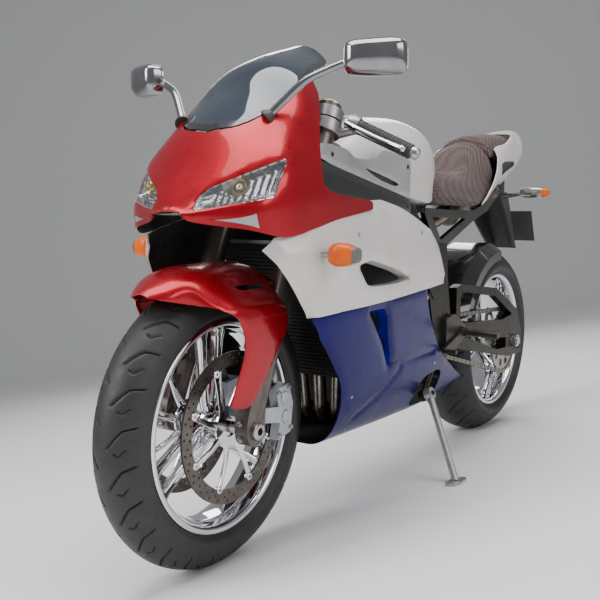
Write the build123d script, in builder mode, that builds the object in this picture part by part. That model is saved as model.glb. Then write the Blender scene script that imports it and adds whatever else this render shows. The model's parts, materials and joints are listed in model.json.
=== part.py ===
from build123d import *
from math import acos, atan2, cos, degrees, hypot, radians, sin, sqrt, tan
import os

# Sport motorcycle with a full fairing, in millimetres.
# The pieces are drawn on the upright bike: +X forward, +Y to the rider's left, +Z up,
# z = 0 on the ground and x = 0 halfway between the axles. At the end the whole bike is
# leaned onto its side stand and written out.

os.makedirs("parts", exist_ok=True)

# ---- driving dimensions ----
wheelbase = 1410.0
rake = 23.75                # steering axis from the vertical, degrees
trail = 102.0
lean = 10.0                 # parked lean to the left, degrees

front_tyre_radius = 300.0
front_tyre_width = 120.0
front_crown_drop = 53.0     # from the crown down to the widest place of the tyre
rear_tyre_radius = 311.0
rear_tyre_width = 190.0
rear_crown_drop = 61.0
tyre_wall = 9.0

rim_seat_radius = 216.0
rim_flange_height = 6.5
rim_wall = 5.0
rim_well_depth = 13.0
front_rim_width = 90.0      # between the flanges
rear_rim_width = 152.0
hub_radius = 38.0
front_hub_width = 104.0
rear_hub_width = 120.0
spoke_pairs = 3
spoke_width = 20.0
spoke_offset = 23.0

front_axle_radius = 12.5
rear_axle_radius = 14.0
axle_bore_radius = 8.0
running_gap = 0.06          # radial, at axles, pins and the steering stem
fit_gap = 0.3               # between neighbouring panels and their seats
brake_gap = 5.5             # each side of a disc

front_disc_radius = 157.5
front_disc_band = 30.0
front_disc_plane = 63.0     # sideways from the centre line
rear_disc_radius = 110.0
rear_disc_band = 28.0
rear_disc_plane = 106.0
disc_thickness = 4.5

fork_spacing = 212.0        # between the leg centres
fork_tube_radius = 27.0
fork_slider_radius = 21.5
fork_slider_top = 560.0     # heights of the fork are along the steering axis
lower_yoke_height = 770.0
upper_yoke_height = 1012.0
yoke_thickness = 25.0
fork_top = 1050.0
stem_radius = 15.0
head_tube_radius = 32.0
yoke_clamp_wall = 9.0
yoke_rest_gap = 0.5

engine_half_width = 112.0
gearbox_half_width = 90.0
frame_wall = 20.0
pivot_x = -150.0
pivot_z = 400.0
pivot_bolt_radius = 12.0
pivot_plate_inner = 118.0   # sideways, inner faces of the frame's pivot plates
pivot_plate_thickness = 18.0
arm_inner = 118.0           # sideways, inner faces of the swingarm's rear legs
arm_thickness = 24.0

chain_plane = 107.0
chain_width = 11.0
chain_half_height = 8.0
rear_sprocket_pitch = 106.0
front_sprocket_pitch = 41.0
front_sprocket_x = -70.0
front_sprocket_z = 402.0
sprocket_gap = 2.0

skin = 4.0                  # wall of the moulded panels
screen_wall = 3.0

stand_leg_radius = 9.5
stand_foot_place = (55.0, 282.0)    # on the ground of the parked bike
stand_pivot = (-25.0, 160.0, 252.0)
stand_folded_run = (-236.0, 14.0, 33.0)
stand_pin_radius = 6.0
stand_eye_radius = 16.0
stand_eye_width = 20.0
stand_bracket_depth = 16.0

# ---- frames of reference ----
front_axle = Vector(wheelbase / 2, 0, front_tyre_radius)
rear_axle = Vector(-wheelbase / 2, 0, rear_tyre_radius)
rake_sine = sin(radians(rake))
rake_cosine = cos(radians(rake))
steering_base = Vector(wheelbase / 2 + trail, 0, 0)
steering = Plane(steering_base, x_dir=(rake_cosine, 0, rake_sine), z_dir=(-rake_sine, 0, rake_cosine))
axle_in_fork = steering.to_local_coords(front_axle)
fork_offset = axle_in_fork.X
axle_height_in_fork = axle_in_fork.Z
fork_half = fork_spacing / 2


def crown_radius(width, crown_drop):
    return ((width / 2) ** 2 + crown_drop ** 2) / (2 * crown_drop)


# leaning about the ground line sinks each tyre a little, so the bike is lifted and pitched back
front_sink = crown_radius(front_tyre_width, front_crown_drop) * (1 - cos(radians(lean)))
rear_sink = crown_radius(rear_tyre_width, rear_crown_drop) * (1 - cos(radians(lean)))
pitch = degrees(atan2(rear_sink - front_sink, wheelbase))
leaning = Pos(0, 0, (front_sink + rear_sink) / 2) * Rot(Y=pitch) * Rot(X=-lean)
ground = Plane(leaning.inverse())       # the parked bike's ground, seen from the upright bike

# the side stand turns about a tilted pin, so that the folded leg lies along the bike
stand_eye = Vector(*stand_pivot)
stand_foot = ground.from_local_coords(Vector(*stand_foot_place, 0))
down_run = (stand_foot - stand_eye).normalized()
folded_run = Vector(*stand_folded_run).normalized()
run_change = down_run - folded_run
stand_pin = Vector(0, run_change.Z, -run_change.Y).normalized()
stand_pin = stand_pin if stand_pin.Y > 0 else -stand_pin
down_flat = down_run - stand_pin * down_run.dot(stand_pin)
folded_flat = folded_run - stand_pin * folded_run.dot(stand_pin)
stand_swing = degrees(acos(down_flat.normalized().dot(folded_flat.normalized())))

pieces = {}


def keep(builder, name):
    builder.part.label = name
    pieces[name] = builder.part


def wheel_plane(axle, y=0.0):
    # drawn from the right-hand side: local x is forward and local y is up
    return Plane(Vector(axle.X, y, axle.Z), x_dir=(1, 0, 0), z_dir=(0, -1, 0))


def bar(start, end, radius, mode=Mode.ADD):
    start, end = Vector(*start), Vector(*end)
    with BuildSketch(Plane(start, z_dir=end - start)) as section:
        Circle(radius)
    extrude(section.sketch, amount=(end - start).length, mode=mode)


def slab(outline, y_low, y_high, mode=Mode.ADD):
    # a side-view outline of (x, z) points, as thick as the two y values say
    with BuildSketch(Plane.XZ.offset(-y_high)) as section:
        Polygon(*outline, align=None)
    extrude(section.sketch, amount=y_high - y_low, mode=mode)


def front_slab(outline, x_low, x_high, mode=Mode.ADD):
    # a front-view outline of (y, z) points
    with BuildSketch(Plane.YZ.offset(x_low)) as section:
        Polygon(*outline, align=None)
    extrude(section.sketch, amount=x_high - x_low, mode=mode)


def both_sides(left_part):
    return left_part + mirror(left_part, about=Plane.XZ)


def moved_in(points, distance):
    # the same open outline, moved to its left-hand side
    moved = []
    for index, point in enumerate(points):
        before = points[max(index - 1, 0)]
        after = points[min(index + 1, len(points) - 1)]
        first = Vector(point[0] - before[0], point[1] - before[1])
        second = Vector(after[0] - point[0], after[1] - point[1])
        first = first.normalized() if first.length > 0 else second.normalized()
        second = second.normalized() if second.length > 0 else first
        middle = (Vector(-first.Y, first.X) + Vector(-second.Y, second.X)).normalized()
        reach = distance / max(middle.dot(Vector(-first.Y, first.X)), 0.5)
        moved.append((point[0] + middle.X * reach, point[1] + middle.Y * reach))
    return moved


def skin_loft(stations, wall, inset=0.0):
    # stations: x of the section, then its outline of (y, z) points
    sections = []
    for x, outline in stations:
        outer = moved_in(outline, inset) if inset else list(outline)
        inner = moved_in(outline, inset + wall)
        with BuildSketch(Plane.YZ.offset(x)) as section:
            Polygon(*(outer + inner[::-1]), align=None)
        sections.append(section.sketch)
    loft(sections, ruled=True)


def whole_section(half):
    # from a half outline that ends on the centre line to the whole outline, left to right
    return list(half) + [(-y, z) for y, z in reversed(half[:-1])]


# ---- wheels ----
def build_tyre(axle, radius, width, crown_drop, rim_width, name):
    half = width / 2
    bead = rim_width / 2
    side = radius - crown_drop
    bead_top = rim_seat_radius + rim_flange_height + 0.5
    with BuildPart() as tyre:
        with BuildSketch(Plane.YZ.offset(axle.X)):
            with BuildLine():
                ThreePointArc((-half, axle.Z + side), (0, axle.Z + radius), (half, axle.Z + side))
                Polyline((half, axle.Z + side), (bead, axle.Z + bead_top), (bead, axle.Z + rim_seat_radius),
                         (bead - tyre_wall, axle.Z + rim_seat_radius), (bead - tyre_wall, axle.Z + bead_top),
                         (half - tyre_wall, axle.Z + side))
                ThreePointArc((half - tyre_wall, axle.Z + side), (0, axle.Z + radius - tyre_wall),
                              (tyre_wall - half, axle.Z + side))
                Polyline((tyre_wall - half, axle.Z + side), (tyre_wall - bead, axle.Z + bead_top),
                         (tyre_wall - bead, axle.Z + rim_seat_radius), (-bead, axle.Z + rim_seat_radius),
                         (-bead, axle.Z + bead_top), (-half, axle.Z + side))
            make_face()
        revolve(axis=Axis(axle, (0, 1, 0)))
    keep(tyre, name)


def build_rim(axle, rim_width, hub_width, spoke_depth, axle_radius, name):
    bead = rim_width / 2
    flange_top = rim_seat_radius + rim_flange_height
    flange_side = bead + rim_wall
    well = rim_seat_radius - rim_well_depth
    half_ring = [(0, well), (18, well), (30, rim_seat_radius), (bead, rim_seat_radius), (bead, flange_top),
                 (flange_side, flange_top), (flange_side, rim_seat_radius - rim_wall),
                 (32, rim_seat_radius - rim_wall), (20, well - rim_wall), (0, well - rim_wall)]
    with BuildPart() as rim:
        with BuildSketch(Plane.YZ.offset(axle.X)) as ring:
            with Locations((0, axle.Z)):
                Polygon(*half_ring, align=None)
                Polygon(*[(-y, z) for y, z in half_ring], align=None)
        revolve(axis=Axis(axle, (0, 1, 0)))
        with BuildSketch(wheel_plane(axle, hub_width / 2)):
            Circle(hub_radius)
        extrude(amount=hub_width)
        spoke_length = well - hub_radius + 4
        with BuildSketch(wheel_plane(axle, spoke_depth / 2)):
            with PolarLocations(hub_radius - 6 + spoke_length / 2, spoke_pairs, start_angle=90):
                with Locations((0, spoke_offset), (0, -spoke_offset)):
                    Rectangle(spoke_length, spoke_width)
        extrude(amount=spoke_depth)
        with BuildSketch(wheel_plane(axle, hub_width / 2)):
            Circle(axle_radius + running_gap)
        extrude(amount=hub_width, mode=Mode.SUBTRACT)
    keep(rim, name)


def build_disc(axle, radius, band, plane_y, hub_side):
    # a flat ring on a dished carrier that reaches the end of the hub
    outward = 1 if plane_y > 0 else -1
    near, far = plane_y - outward * disc_thickness / 2, plane_y + outward * disc_thickness / 2
    start = outward * hub_side
    carrier_root = hub_radius + 8
    profile = [(start, front_axle_radius + 9), (start + outward * disc_thickness, front_axle_radius + 9),
               (start + outward * disc_thickness, carrier_root), (far, radius - band), (far, radius),
               (near, radius), (near, radius - band), (start, carrier_root)]
    with BuildSketch(Plane.YZ.offset(axle.X)) as ring:
        with Locations((0, axle.Z)):
            Polygon(*profile, align=None)
    revolve(ring.sketch, axis=Axis(axle, (0, 1, 0)))
    with BuildSketch(wheel_plane(axle, 150)) as windows:
        with PolarLocations((carrier_root + radius - band) / 2, 6):
            Circle((radius - band - carrier_root) * 0.32)
    extrude(windows.sketch, amount=300, mode=Mode.SUBTRACT)


build_tyre(front_axle, front_tyre_radius, front_tyre_width, front_crown_drop, front_rim_width, "front_tyre")
build_tyre(rear_axle, rear_tyre_radius, rear_tyre_width, rear_crown_drop, rear_rim_width, "rear_tyre")
build_rim(front_axle, front_rim_width, front_hub_width, 34.0, front_axle_radius, "front_rim")
build_rim(rear_axle, rear_rim_width, rear_hub_width, 46.0, rear_axle_radius, "rear_rim")

with BuildPart() as front_discs:
    build_disc(front_axle, front_disc_radius, front_disc_band, front_disc_plane, front_hub_width / 2 + 0.1)
    mirror(about=Plane.XZ)
keep(front_discs, "front_discs")

with BuildPart() as rear_disc:
    build_disc(rear_axle, rear_disc_radius, rear_disc_band, -rear_disc_plane, rear_hub_width / 2 + 0.1)
keep(rear_disc, "rear_disc")

sprocket_radius = rear_sprocket_pitch - chain_half_height - sprocket_gap
with BuildPart() as rear_sprocket:
    with BuildSketch(wheel_plane(rear_axle, chain_plane + 3)):
        Circle(sprocket_radius)
        Circle(rear_axle_radius + 12, mode=Mode.SUBTRACT)
        with PolarLocations(sprocket_radius * 0.72, 5):
            Circle(sprocket_radius * 0.16, mode=Mode.SUBTRACT)
    extrude(amount=6)
    with BuildSketch(wheel_plane(rear_axle, chain_plane)):
        Circle(hub_radius + 16)
        Circle(rear_axle_radius + 12, mode=Mode.SUBTRACT)
    extrude(amount=chain_plane - rear_hub_width / 2 - 0.1)
keep(rear_sprocket, "rear_sprocket")

# ---- front fork and steering ----
with BuildPart() as fork_legs:
    for side in (1, -1):
        with BuildSketch(steering.offset(fork_slider_top)):
            with Locations((fork_offset, side * fork_half)):
                Circle(fork_tube_radius)
        extrude(amount=fork_top - fork_slider_top)
        with BuildSketch(steering.offset(axle_height_in_fork)):
            with Locations((fork_offset, side * fork_half)):
                Circle(fork_slider_radius)
        extrude(amount=fork_slider_top - axle_height_in_fork)
        with BuildSketch(wheel_plane(front_axle, side * fork_half + 18)):
            Circle(fork_slider_radius + 3)
        extrude(amount=36)
        with BuildSketch(wheel_plane(front_axle, side * fork_half + 24)):
            Circle(front_axle_radius + running_gap)
        extrude(amount=48, mode=Mode.SUBTRACT)
keep(fork_legs, "fork_legs")

axle_half = fork_half + 22
with BuildPart() as front_axle_rod:
    with BuildSketch(wheel_plane(front_axle, axle_half)):
        Circle(front_axle_radius)
        Circle(axle_bore_radius, mode=Mode.SUBTRACT)
    extrude(amount=2 * axle_half)
keep(front_axle_rod, "front_axle")


def yoke(height):
    with BuildSketch(steering.offset(height)) as plate:
        with Locations((fork_offset / 2, 0)):
            Rectangle(52, fork_spacing)
        with Locations((fork_offset, fork_half), (fork_offset, -fork_half)):
            Circle(fork_tube_radius + yoke_clamp_wall)
        Circle(head_tube_radius + 4)
        with Locations((fork_offset, fork_half), (fork_offset, -fork_half)):
            Circle(fork_tube_radius + running_gap, mode=Mode.SUBTRACT)
    extrude(plate.sketch, amount=yoke_thickness)


stem_top = upper_yoke_height - yoke_rest_gap
with BuildPart() as lower_yoke:
    yoke(lower_yoke_height)
    with BuildSketch(steering.offset(lower_yoke_height)):
        Circle(stem_radius)
    extrude(amount=stem_top - lower_yoke_height)
    with BuildSketch(steering.offset(lower_yoke_height)):
        Circle(axle_bore_radius)
    extrude(amount=stem_top - lower_yoke_height, mode=Mode.SUBTRACT)
keep(lower_yoke, "lower_yoke")

stem_nut_height = 8.0
with BuildPart() as upper_yoke:
    yoke(upper_yoke_height)
    with BuildSketch(steering.offset(upper_yoke_height + yoke_thickness)):
        Circle(stem_radius + 3)
    extrude(amount=stem_nut_height)
    with BuildSketch(steering.offset(upper_yoke_height)):
        Circle(axle_bore_radius)
    extrude(amount=yoke_thickness + stem_nut_height, mode=Mode.SUBTRACT)
keep(upper_yoke, "upper_yoke")

clip_height = upper_yoke_height - 32
clip_thickness = 28.0
grip_inner = Vector(388, 176, 922)
grip_outer = Vector(368, 288, 868)
grip_line = (grip_outer - grip_inner).normalized()
with BuildPart() as left_bar:
    with BuildSketch(steering.offset(clip_height)):
        with Locations((fork_offset, fork_half)):
            Circle(fork_tube_radius + 11)
            Circle(fork_tube_radius + running_gap, mode=Mode.SUBTRACT)
    extrude(amount=clip_thickness)
    clip_centre = steering.from_local_coords(
        Vector(fork_offset - 26, fork_half + 22, clip_height + clip_thickness / 2))
    bar(clip_centre, grip_inner, 11)
    bar(grip_inner - grip_line * 6, grip_outer, 17)
    bar(grip_outer, grip_outer + grip_line * 18, 14)
    # lever and its master cylinder in front of the grip
    lever_root = grip_inner + Vector(44, -8, 6)
    lever_tip = grip_outer + Vector(56, 6, 4)
    bar(lever_root, lever_tip, 6)
    bar(lever_root + Vector(-40, -4, -6), lever_root + Vector(6, 0, 0), 11)
    with BuildSketch(steering.offset(lower_yoke_height)):
        with Locations((fork_offset, fork_half)):
            Circle(fork_tube_radius + running_gap)
    extrude(amount=fork_top - lower_yoke_height, mode=Mode.SUBTRACT)
with BuildPart() as handlebars:
    add(both_sides(left_bar.part))
keep(handlebars, "handlebars")

# front brake calipers behind the fork legs, open around the discs
caliper_outline = [(-113, 60), (-128, -6), (-118, -50), (-166, -40), (-176, 22), (-160, 68)]
caliper_inner, caliper_outer = 41.0, 93.0
with BuildPart() as left_caliper:
    slab([(front_axle.X + x, front_axle.Z + z) for x, z in caliper_outline], caliper_inner, caliper_outer)
    slot_low = front_disc_plane - disc_thickness / 2 - brake_gap
    slot_high = front_disc_plane + disc_thickness / 2 + brake_gap
    with BuildSketch(wheel_plane(front_axle, slot_high)):
        Circle(front_disc_radius + brake_gap)
    extrude(amount=slot_high - slot_low, mode=Mode.SUBTRACT)
    # lug that bolts to the fork leg
    slab([(front_axle.X - 124, front_axle.Z + 22), (front_axle.X - 24, front_axle.Z + 34),
          (front_axle.X - 20, front_axle.Z + 6), (front_axle.X - 132, front_axle.Z - 14)],
         caliper_outer - 16, caliper_outer)
    add(fork_legs.part, mode=Mode.SUBTRACT)
with BuildPart() as front_calipers:
    add(both_sides(left_caliper.part))
keep(front_calipers, "front_calipers")

# front fender: a band over the tyre, shoulders in front of the fork legs and side blades
fender_radius = front_tyre_radius + 34.0
fender_wall_foot = fender_radius - 42.0
fender_half = 70.0
blade_outer = fork_half + fork_tube_radius + fit_gap + skin
with BuildPart() as front_fender:
    with BuildSketch(Plane.YZ.offset(front_axle.X)):
        with Locations((0, front_axle.Z)):
            Polygon((-fender_half, fender_wall_foot), (-fender_half, fender_radius - 12),
                    (-fender_half + 18, fender_radius + 3), (fender_half - 18, fender_radius + 3),
                    (fender_half, fender_radius - 12), (fender_half, fender_wall_foot),
                    (fender_half - skin, fender_wall_foot), (fender_half - skin, fender_radius - 13),
                    (fender_half - 20, fender_radius - 1), (20 - fender_half, fender_radius - 1),
                    (skin - fender_half, fender_radius - 13), (skin - fender_half, fender_wall_foot),
                    align=None)
    revolve(axis=Axis(front_axle, (0, -1, 0)), revolution_arc=360)
    slab([(front_axle.X, front_axle.Z), (930, 560), (925, 680), (500, 700), (530, 560)], -200, 200,
         mode=Mode.INTERSECT)
    blade = [(800, 549), (812, 470), (806, 380), (738, 356), (700, 388), (652, 465), (606, 520), (596, 549)]
    for side in (1, -1):
        low, high = sorted((side * (blade_outer - skin), side * blade_outer))
        slab(blade, low, high)
        # the shoulder slopes from the band down to the blade, so that it clears the fairing at full lock
        front_slab([(side * (fender_half - skin), 612), (side * (fender_half - skin), 618),
                    (side * blade_outer, 548), (side * blade_outer, 540),
                    (side * (blade_outer - skin), 540)], 600, 800)
        low, high = sorted((side * (fender_half + 1), side * 200))
        slab([(800, 548), (768, 622), (840, 640), (840, 548)], low, high, mode=Mode.SUBTRACT)
    for side in (1, -1):
        with BuildSketch(steering.offset(300)):
            with Locations((fork_offset, side * fork_half)):
                Circle(fork_tube_radius + 0.4)
        extrude(amount=400, mode=Mode.SUBTRACT)
keep(front_fender, "front_fender")

# ---- main frame ----
shock_mount = Vector(-172, 0, 590)
shock_tube_radius = 15.0
head_low = lower_yoke_height + yoke_thickness + yoke_rest_gap
head_high = upper_yoke_height - yoke_rest_gap
# spar sections: x, outer face y, low z, high z
spar_rows = [
    (432, 26, 742, 850),
    (372, 74, 736, 842),
    (300, 132, 716, 812),
    (60, 140, 640, 760),
    (-90, 138, 500, 640),
]
stay_bar = [(576, 908), (576, 926), (588, 926), (588, 908)]
stay_bar_half = 60.0
with BuildPart() as main_frame:
    with BuildSketch(steering.offset(head_low)):
        Circle(head_tube_radius)
    extrude(amount=head_high - head_low)
    for side in (1, -1):
        for x, y, low, high in spar_rows:
            with BuildSketch(Plane.YZ.offset(x)):
                Polygon((side * y, low), (side * y, high), (side * (y - frame_wall), high),
                        (side * (y - frame_wall), low), align=None)
        loft(ruled=True)
        low, high = sorted((side * pivot_plate_inner, side * (pivot_plate_inner + pivot_plate_thickness)))
        slab([(-60, 640), (-60, 520), (-92, 420), (-96, 304), (-150, 298), (-200, 340), (-205, 440), (-180, 560),
              (-170, 650), (-90, 660)], low, high)
    # fairing stay ahead of the head tube, with its cross bar
    slab([(470, 800), (590, 905), (590, 935), (500, 865), (440, 845)], -18, 18)
    slab(stay_bar, -stay_bar_half, stay_bar_half)
    # upper mount of the rear shock
    with BuildSketch(wheel_plane(shock_mount, pivot_plate_inner)):
        Circle(shock_tube_radius)
    extrude(amount=2 * pivot_plate_inner)
    with BuildSketch(steering.offset(head_low)):
        Circle(stem_radius + running_gap)
    extrude(amount=head_high - head_low, mode=Mode.SUBTRACT)
    with BuildSketch(wheel_plane(Vector(pivot_x, 0, pivot_z), pivot_plate_inner + pivot_plate_thickness)):
        Circle(pivot_bolt_radius)
    extrude(amount=2 * (pivot_plate_inner + pivot_plate_thickness))
    # bracket of the side stand, under the left pivot plate
    bracket_face = stand_eye - stand_pin * (stand_eye_width / 2 + yoke_rest_gap)
    with BuildSketch(Plane(bracket_face, z_dir=-stand_pin)):
        Circle(stand_eye_radius)
    extrude(amount=stand_bracket_depth)
    bar((-118, pivot_plate_inner + 8, 312), bracket_face - stand_pin * (stand_bracket_depth - 4), 7.5)
    with BuildSketch(Plane(bracket_face, z_dir=stand_pin)):
        Circle(stand_pin_radius)
    extrude(amount=stand_eye_width + 4)
keep(main_frame, "main_frame")

with BuildPart() as side_stand:
    with BuildSketch(Plane(stand_eye - stand_pin * stand_eye_width / 2, z_dir=stand_pin)):
        Circle(stand_eye_radius)
    extrude(amount=stand_eye_width)
    bar(stand_eye + down_run * 8, stand_foot + (stand_eye - stand_foot).normalized() * 6, stand_leg_radius)
    with BuildSketch(ground) as sole:
        with Locations(stand_foot_place):
            SlotOverall(74, 42)
    extrude(amount=7)
    with BuildSketch(Plane(stand_eye - stand_pin * stand_eye_width, z_dir=stand_pin)):
        Circle(stand_pin_radius + running_gap)
    extrude(amount=2 * stand_eye_width, mode=Mode.SUBTRACT)
keep(side_stand, "side_stand")

# ---- engine, cooling and exhaust ----
with BuildPart() as engine_block:
    slab([(300, 610), (318, 470), (262, 262), (-16, 262), (-16, 440), (40, 612), (200, 668)],
         -engine_half_width, engine_half_width)
    slab([(-14, 262), (-14, 452), (-104, 452), (-104, 262)], -gearbox_half_width, gearbox_half_width)
    # engine mounts reach the inner faces of the spars
    for side in (1, -1):
        low, high = sorted((side * (engine_half_width - 12), side * (engine_half_width + 5.4)))
        slab([(60, 590), (60, 690), (120, 690), (120, 590)], low, high)
        low, high = sorted((side * (gearbox_half_width - 4), side * (pivot_plate_inner - fit_gap)))
        slab([(-104, 262), (-104, 330), (-92, 330), (-92, 262)], low, high)
keep(engine_block, "engine_block")

with BuildPart() as front_sprocket:
    sprocket_centre = Vector(front_sprocket_x, 0, front_sprocket_z)
    with BuildSketch(wheel_plane(sprocket_centre, chain_plane + 3)):
        Circle(front_sprocket_pitch - chain_half_height - 2 * fit_gap)
    extrude(amount=6)
    with BuildSketch(wheel_plane(sprocket_centre, chain_plane)):
        Circle(14)
    extrude(amount=chain_plane - gearbox_half_width - fit_gap)
keep(front_sprocket, "front_sprocket")

radiator_foot = Vector(368, 0, 352)
radiator_head = Vector(454, 0, 664)
radiator_half_width = 164.0
radiator_depth = 26.0
with BuildPart() as radiator:
    rise = (radiator_head - radiator_foot).normalized()
    back = Vector(-rise.Z, 0, rise.X)
    corners = [radiator_foot, radiator_head, radiator_head + back * radiator_depth,
               radiator_foot + back * radiator_depth]
    slab([(p.X, p.Z) for p in corners], -radiator_half_width, radiator_half_width)
    # rubber-mounted lugs behind, one pair, down to the front of the engine
    for side in (1, -1):
        low, high = sorted((side * 70, side * 92))
        slab([(412, 600), (390, 520), (300, 520), (296, 604)], low, high)
    add(engine_block.part, mode=Mode.SUBTRACT)
keep(radiator, "radiator")

header_radius = 16.0
header_rows = (-84.0, -28.0, 28.0, 84.0)
collector_z = 234.0
silencer_start = Vector(-456, 0, 736)
silencer_end = Vector(-905, 0, 930)
silencer_radius = 46.0
outlet_depth = 30.0
with BuildPart() as exhaust:
    for y in header_rows:
        with BuildLine() as route:
            FilletPolyline((290, y, 428), (328, y, 420), (304, y * 0.8, collector_z), (120, y * 0.35, collector_z),
                           radius=[12, 40])
        with BuildSketch(Plane(route.line @ 0, z_dir=route.line % 0)):
            Circle(header_radius)
        sweep()
    with BuildLine() as route:
        FilletPolyline((160, 0, collector_z), (-60, 0, collector_z), (-276, -48, collector_z + 40),
                       (-276, -48, 660), (-470, 0, 742), radius=[80, 70, 80])
    with BuildSketch(Plane(route.line @ 0, z_dir=route.line % 0)):
        Circle(27)
    sweep()
    bar(silencer_start, silencer_end, silencer_radius)
    bar(silencer_end, silencer_end + (silencer_end - silencer_start).normalized() * 26, 40)
    with BuildSketch(Plane(silencer_end + (silencer_end - silencer_start).normalized() * 26,
                           z_dir=silencer_start - silencer_end)):
        Circle(34)
    extrude(amount=outlet_depth, mode=Mode.SUBTRACT)
    add(engine_block.part, mode=Mode.SUBTRACT)
keep(exhaust, "exhaust")

# ---- swingarm and what it carries ----


def by_pivot(*places):
    return [(pivot_x + x, pivot_z + z) for x, z in places]


def by_rear_axle(*places):
    return [(rear_axle.X + x, rear_axle.Z + z) for x, z in places]


arm_outline = [*by_pivot((-82, -54), (-82, 122), (-112, 130)),
               *by_rear_axle((160, 188), (-33, 103), (-81, 27), (-81, -49), (45, -47))]
arm_window = [*by_pivot((-112, 16), (-112, 102), (-150, 105)), *by_rear_axle((169, 163), (15, 91), (105, 81))]
arm_window_low = [*by_pivot((-150, -28)), *by_rear_axle((145, 27), (65, 19), (65, -15), (145, -11))]
with BuildPart() as swingarm:
    pivot = Vector(pivot_x, 0, pivot_z)
    with BuildSketch(wheel_plane(pivot, chain_plane - chain_width / 2 - 6)):
        Circle(30)
    extrude(amount=2 * (chain_plane - chain_width / 2 - 6))
    with BuildSketch(wheel_plane(pivot, pivot_plate_inner - fit_gap)):
        Circle(19)
    extrude(amount=2 * (pivot_plate_inner - fit_gap))
    slab([(-160, 362), (-160, 424), (-320, 404), (-352, 392), (-352, 340), (-320, 336)], -94, 94)
    slab([(-192, 300), (-192, 460), (-318, 460), (-318, 300)], -82, 82, mode=Mode.SUBTRACT)
    for side in (1, -1):
        low, high = sorted((side * 88, side * (arm_inner + arm_thickness)))
        slab([(-262, 348), (-262, 404), (-340, 394), (-340, 338)], low, high)
        low, high = sorted((side * arm_inner, side * (arm_inner + arm_thickness)))
        slab(arm_outline, low, high)
        slab(arm_window, low, high, mode=Mode.SUBTRACT)
        slab(arm_window_low, low, high, mode=Mode.SUBTRACT)
    with BuildSketch(wheel_plane(pivot, 200)):
        Circle(pivot_bolt_radius + running_gap)
    extrude(amount=400, mode=Mode.SUBTRACT)
    with BuildSketch(wheel_plane(rear_axle, 200)):
        Circle(rear_axle_radius + running_gap)
    extrude(amount=400, mode=Mode.SUBTRACT)
    # threaded bosses for a paddock stand
    for side in (1, -1):
        boss = rear_axle + Vector(-51, 0, -21)
        near = side * (arm_inner + arm_thickness)
        with BuildSketch(wheel_plane(boss, near + (8 if side > 0 else 0))):
            Circle(11)
        extrude(amount=8)
        with BuildSketch(wheel_plane(boss, near + (8 if side > 0 else 22))):
            Circle(4.2)
        extrude(amount=30, mode=Mode.SUBTRACT)
keep(swingarm, "swingarm")

rear_axle_half = arm_inner + arm_thickness + 20
with BuildPart() as rear_axle_rod:
    with BuildSketch(wheel_plane(rear_axle, rear_axle_half)):
        Circle(rear_axle_radius)
    extrude(amount=2 * rear_axle_half)
    for y in (rear_axle_half - 4, -(arm_inner + arm_thickness + fit_gap)):
        with BuildSketch(wheel_plane(rear_axle, y)):
            RegularPolygon(22, 6)
        extrude(amount=16 - fit_gap)
keep(rear_axle_rod, "rear_axle")


def chain_outline(front_radius, rear_radius):
    # two circles and their outer tangents, in side view
    front = Vector(front_sprocket_x, front_sprocket_z)
    rear = Vector(rear_axle.X, rear_axle.Z)
    run = front - rear
    heading = degrees(atan2(run.Y, run.X))
    opening = degrees(acos((rear_radius - front_radius) / run.length))

    def on(centre, radius, angle):
        return (centre.X + radius * cos(radians(angle)), centre.Y + radius * sin(radians(angle)))

    high, low = heading + opening, heading - opening
    with BuildLine() as loop:
        Line(on(rear, rear_radius, high), on(front, front_radius, high))
        ThreePointArc(on(front, front_radius, high), on(front, front_radius, heading), on(front, front_radius, low))
        Line(on(front, front_radius, low), on(rear, rear_radius, low))
        ThreePointArc(on(rear, rear_radius, low), on(rear, rear_radius, heading + 180), on(rear, rear_radius, high))
    return loop.line


with BuildPart() as chain:
    with BuildSketch(Plane.XZ.offset(-chain_plane - chain_width / 2)):
        make_face(chain_outline(front_sprocket_pitch + chain_half_height, rear_sprocket_pitch + chain_half_height))
        make_face(chain_outline(front_sprocket_pitch - chain_half_height, rear_sprocket_pitch - chain_half_height),
                  mode=Mode.SUBTRACT)
    extrude(amount=chain_width)
keep(chain, "chain")

with BuildPart() as rear_caliper:
    slab(by_rear_axle((71, 51), (93, 61), (93, 91), (57, 121), (5, 125), (1, 89), (33, 85)),
         -(arm_inner - fit_gap), -rear_disc_plane + 26)
    with BuildSketch(wheel_plane(rear_axle, -rear_disc_plane + disc_thickness / 2 + brake_gap)):
        Circle(rear_disc_radius + brake_gap)
    extrude(amount=disc_thickness + 2 * brake_gap, mode=Mode.SUBTRACT)
keep(rear_caliper, "rear_caliper")

hugger_radius = rear_tyre_radius + 10.0
hugger_wall_foot = hugger_radius - 53.0
hugger_half = 97.0
with BuildPart() as hugger:
    with BuildSketch(Plane.YZ.offset(rear_axle.X)):
        with Locations((0, rear_axle.Z)):
            Polygon((-hugger_half, hugger_wall_foot), (-hugger_half, hugger_radius - 24),
                    (-60, hugger_radius + skin), (60, hugger_radius + skin),
                    (hugger_half, hugger_radius - 24), (hugger_half, hugger_wall_foot),
                    (hugger_half - skin, hugger_wall_foot), (hugger_half - skin, hugger_radius - 26),
                    (58, hugger_radius), (-58, hugger_radius), (skin - hugger_half, hugger_radius - 26),
                    (skin - hugger_half, hugger_wall_foot), align=None)
    revolve(axis=Axis(rear_axle, (0, -1, 0)), revolution_arc=360)
    slab([(rear_axle.X, rear_axle.Z), (rear_axle.X + 10, 660), (-330, 700), (-330, 430)], -200, 200,
         mode=Mode.INTERSECT)
    for side in (1, -1):
        low, high = sorted((side * (hugger_half - 2), side * (arm_inner - fit_gap)))
        slab([(-430, 488), (-430, 506), (-480, 502), (-480, 482)], low, high)
keep(hugger, "hugger")

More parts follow.
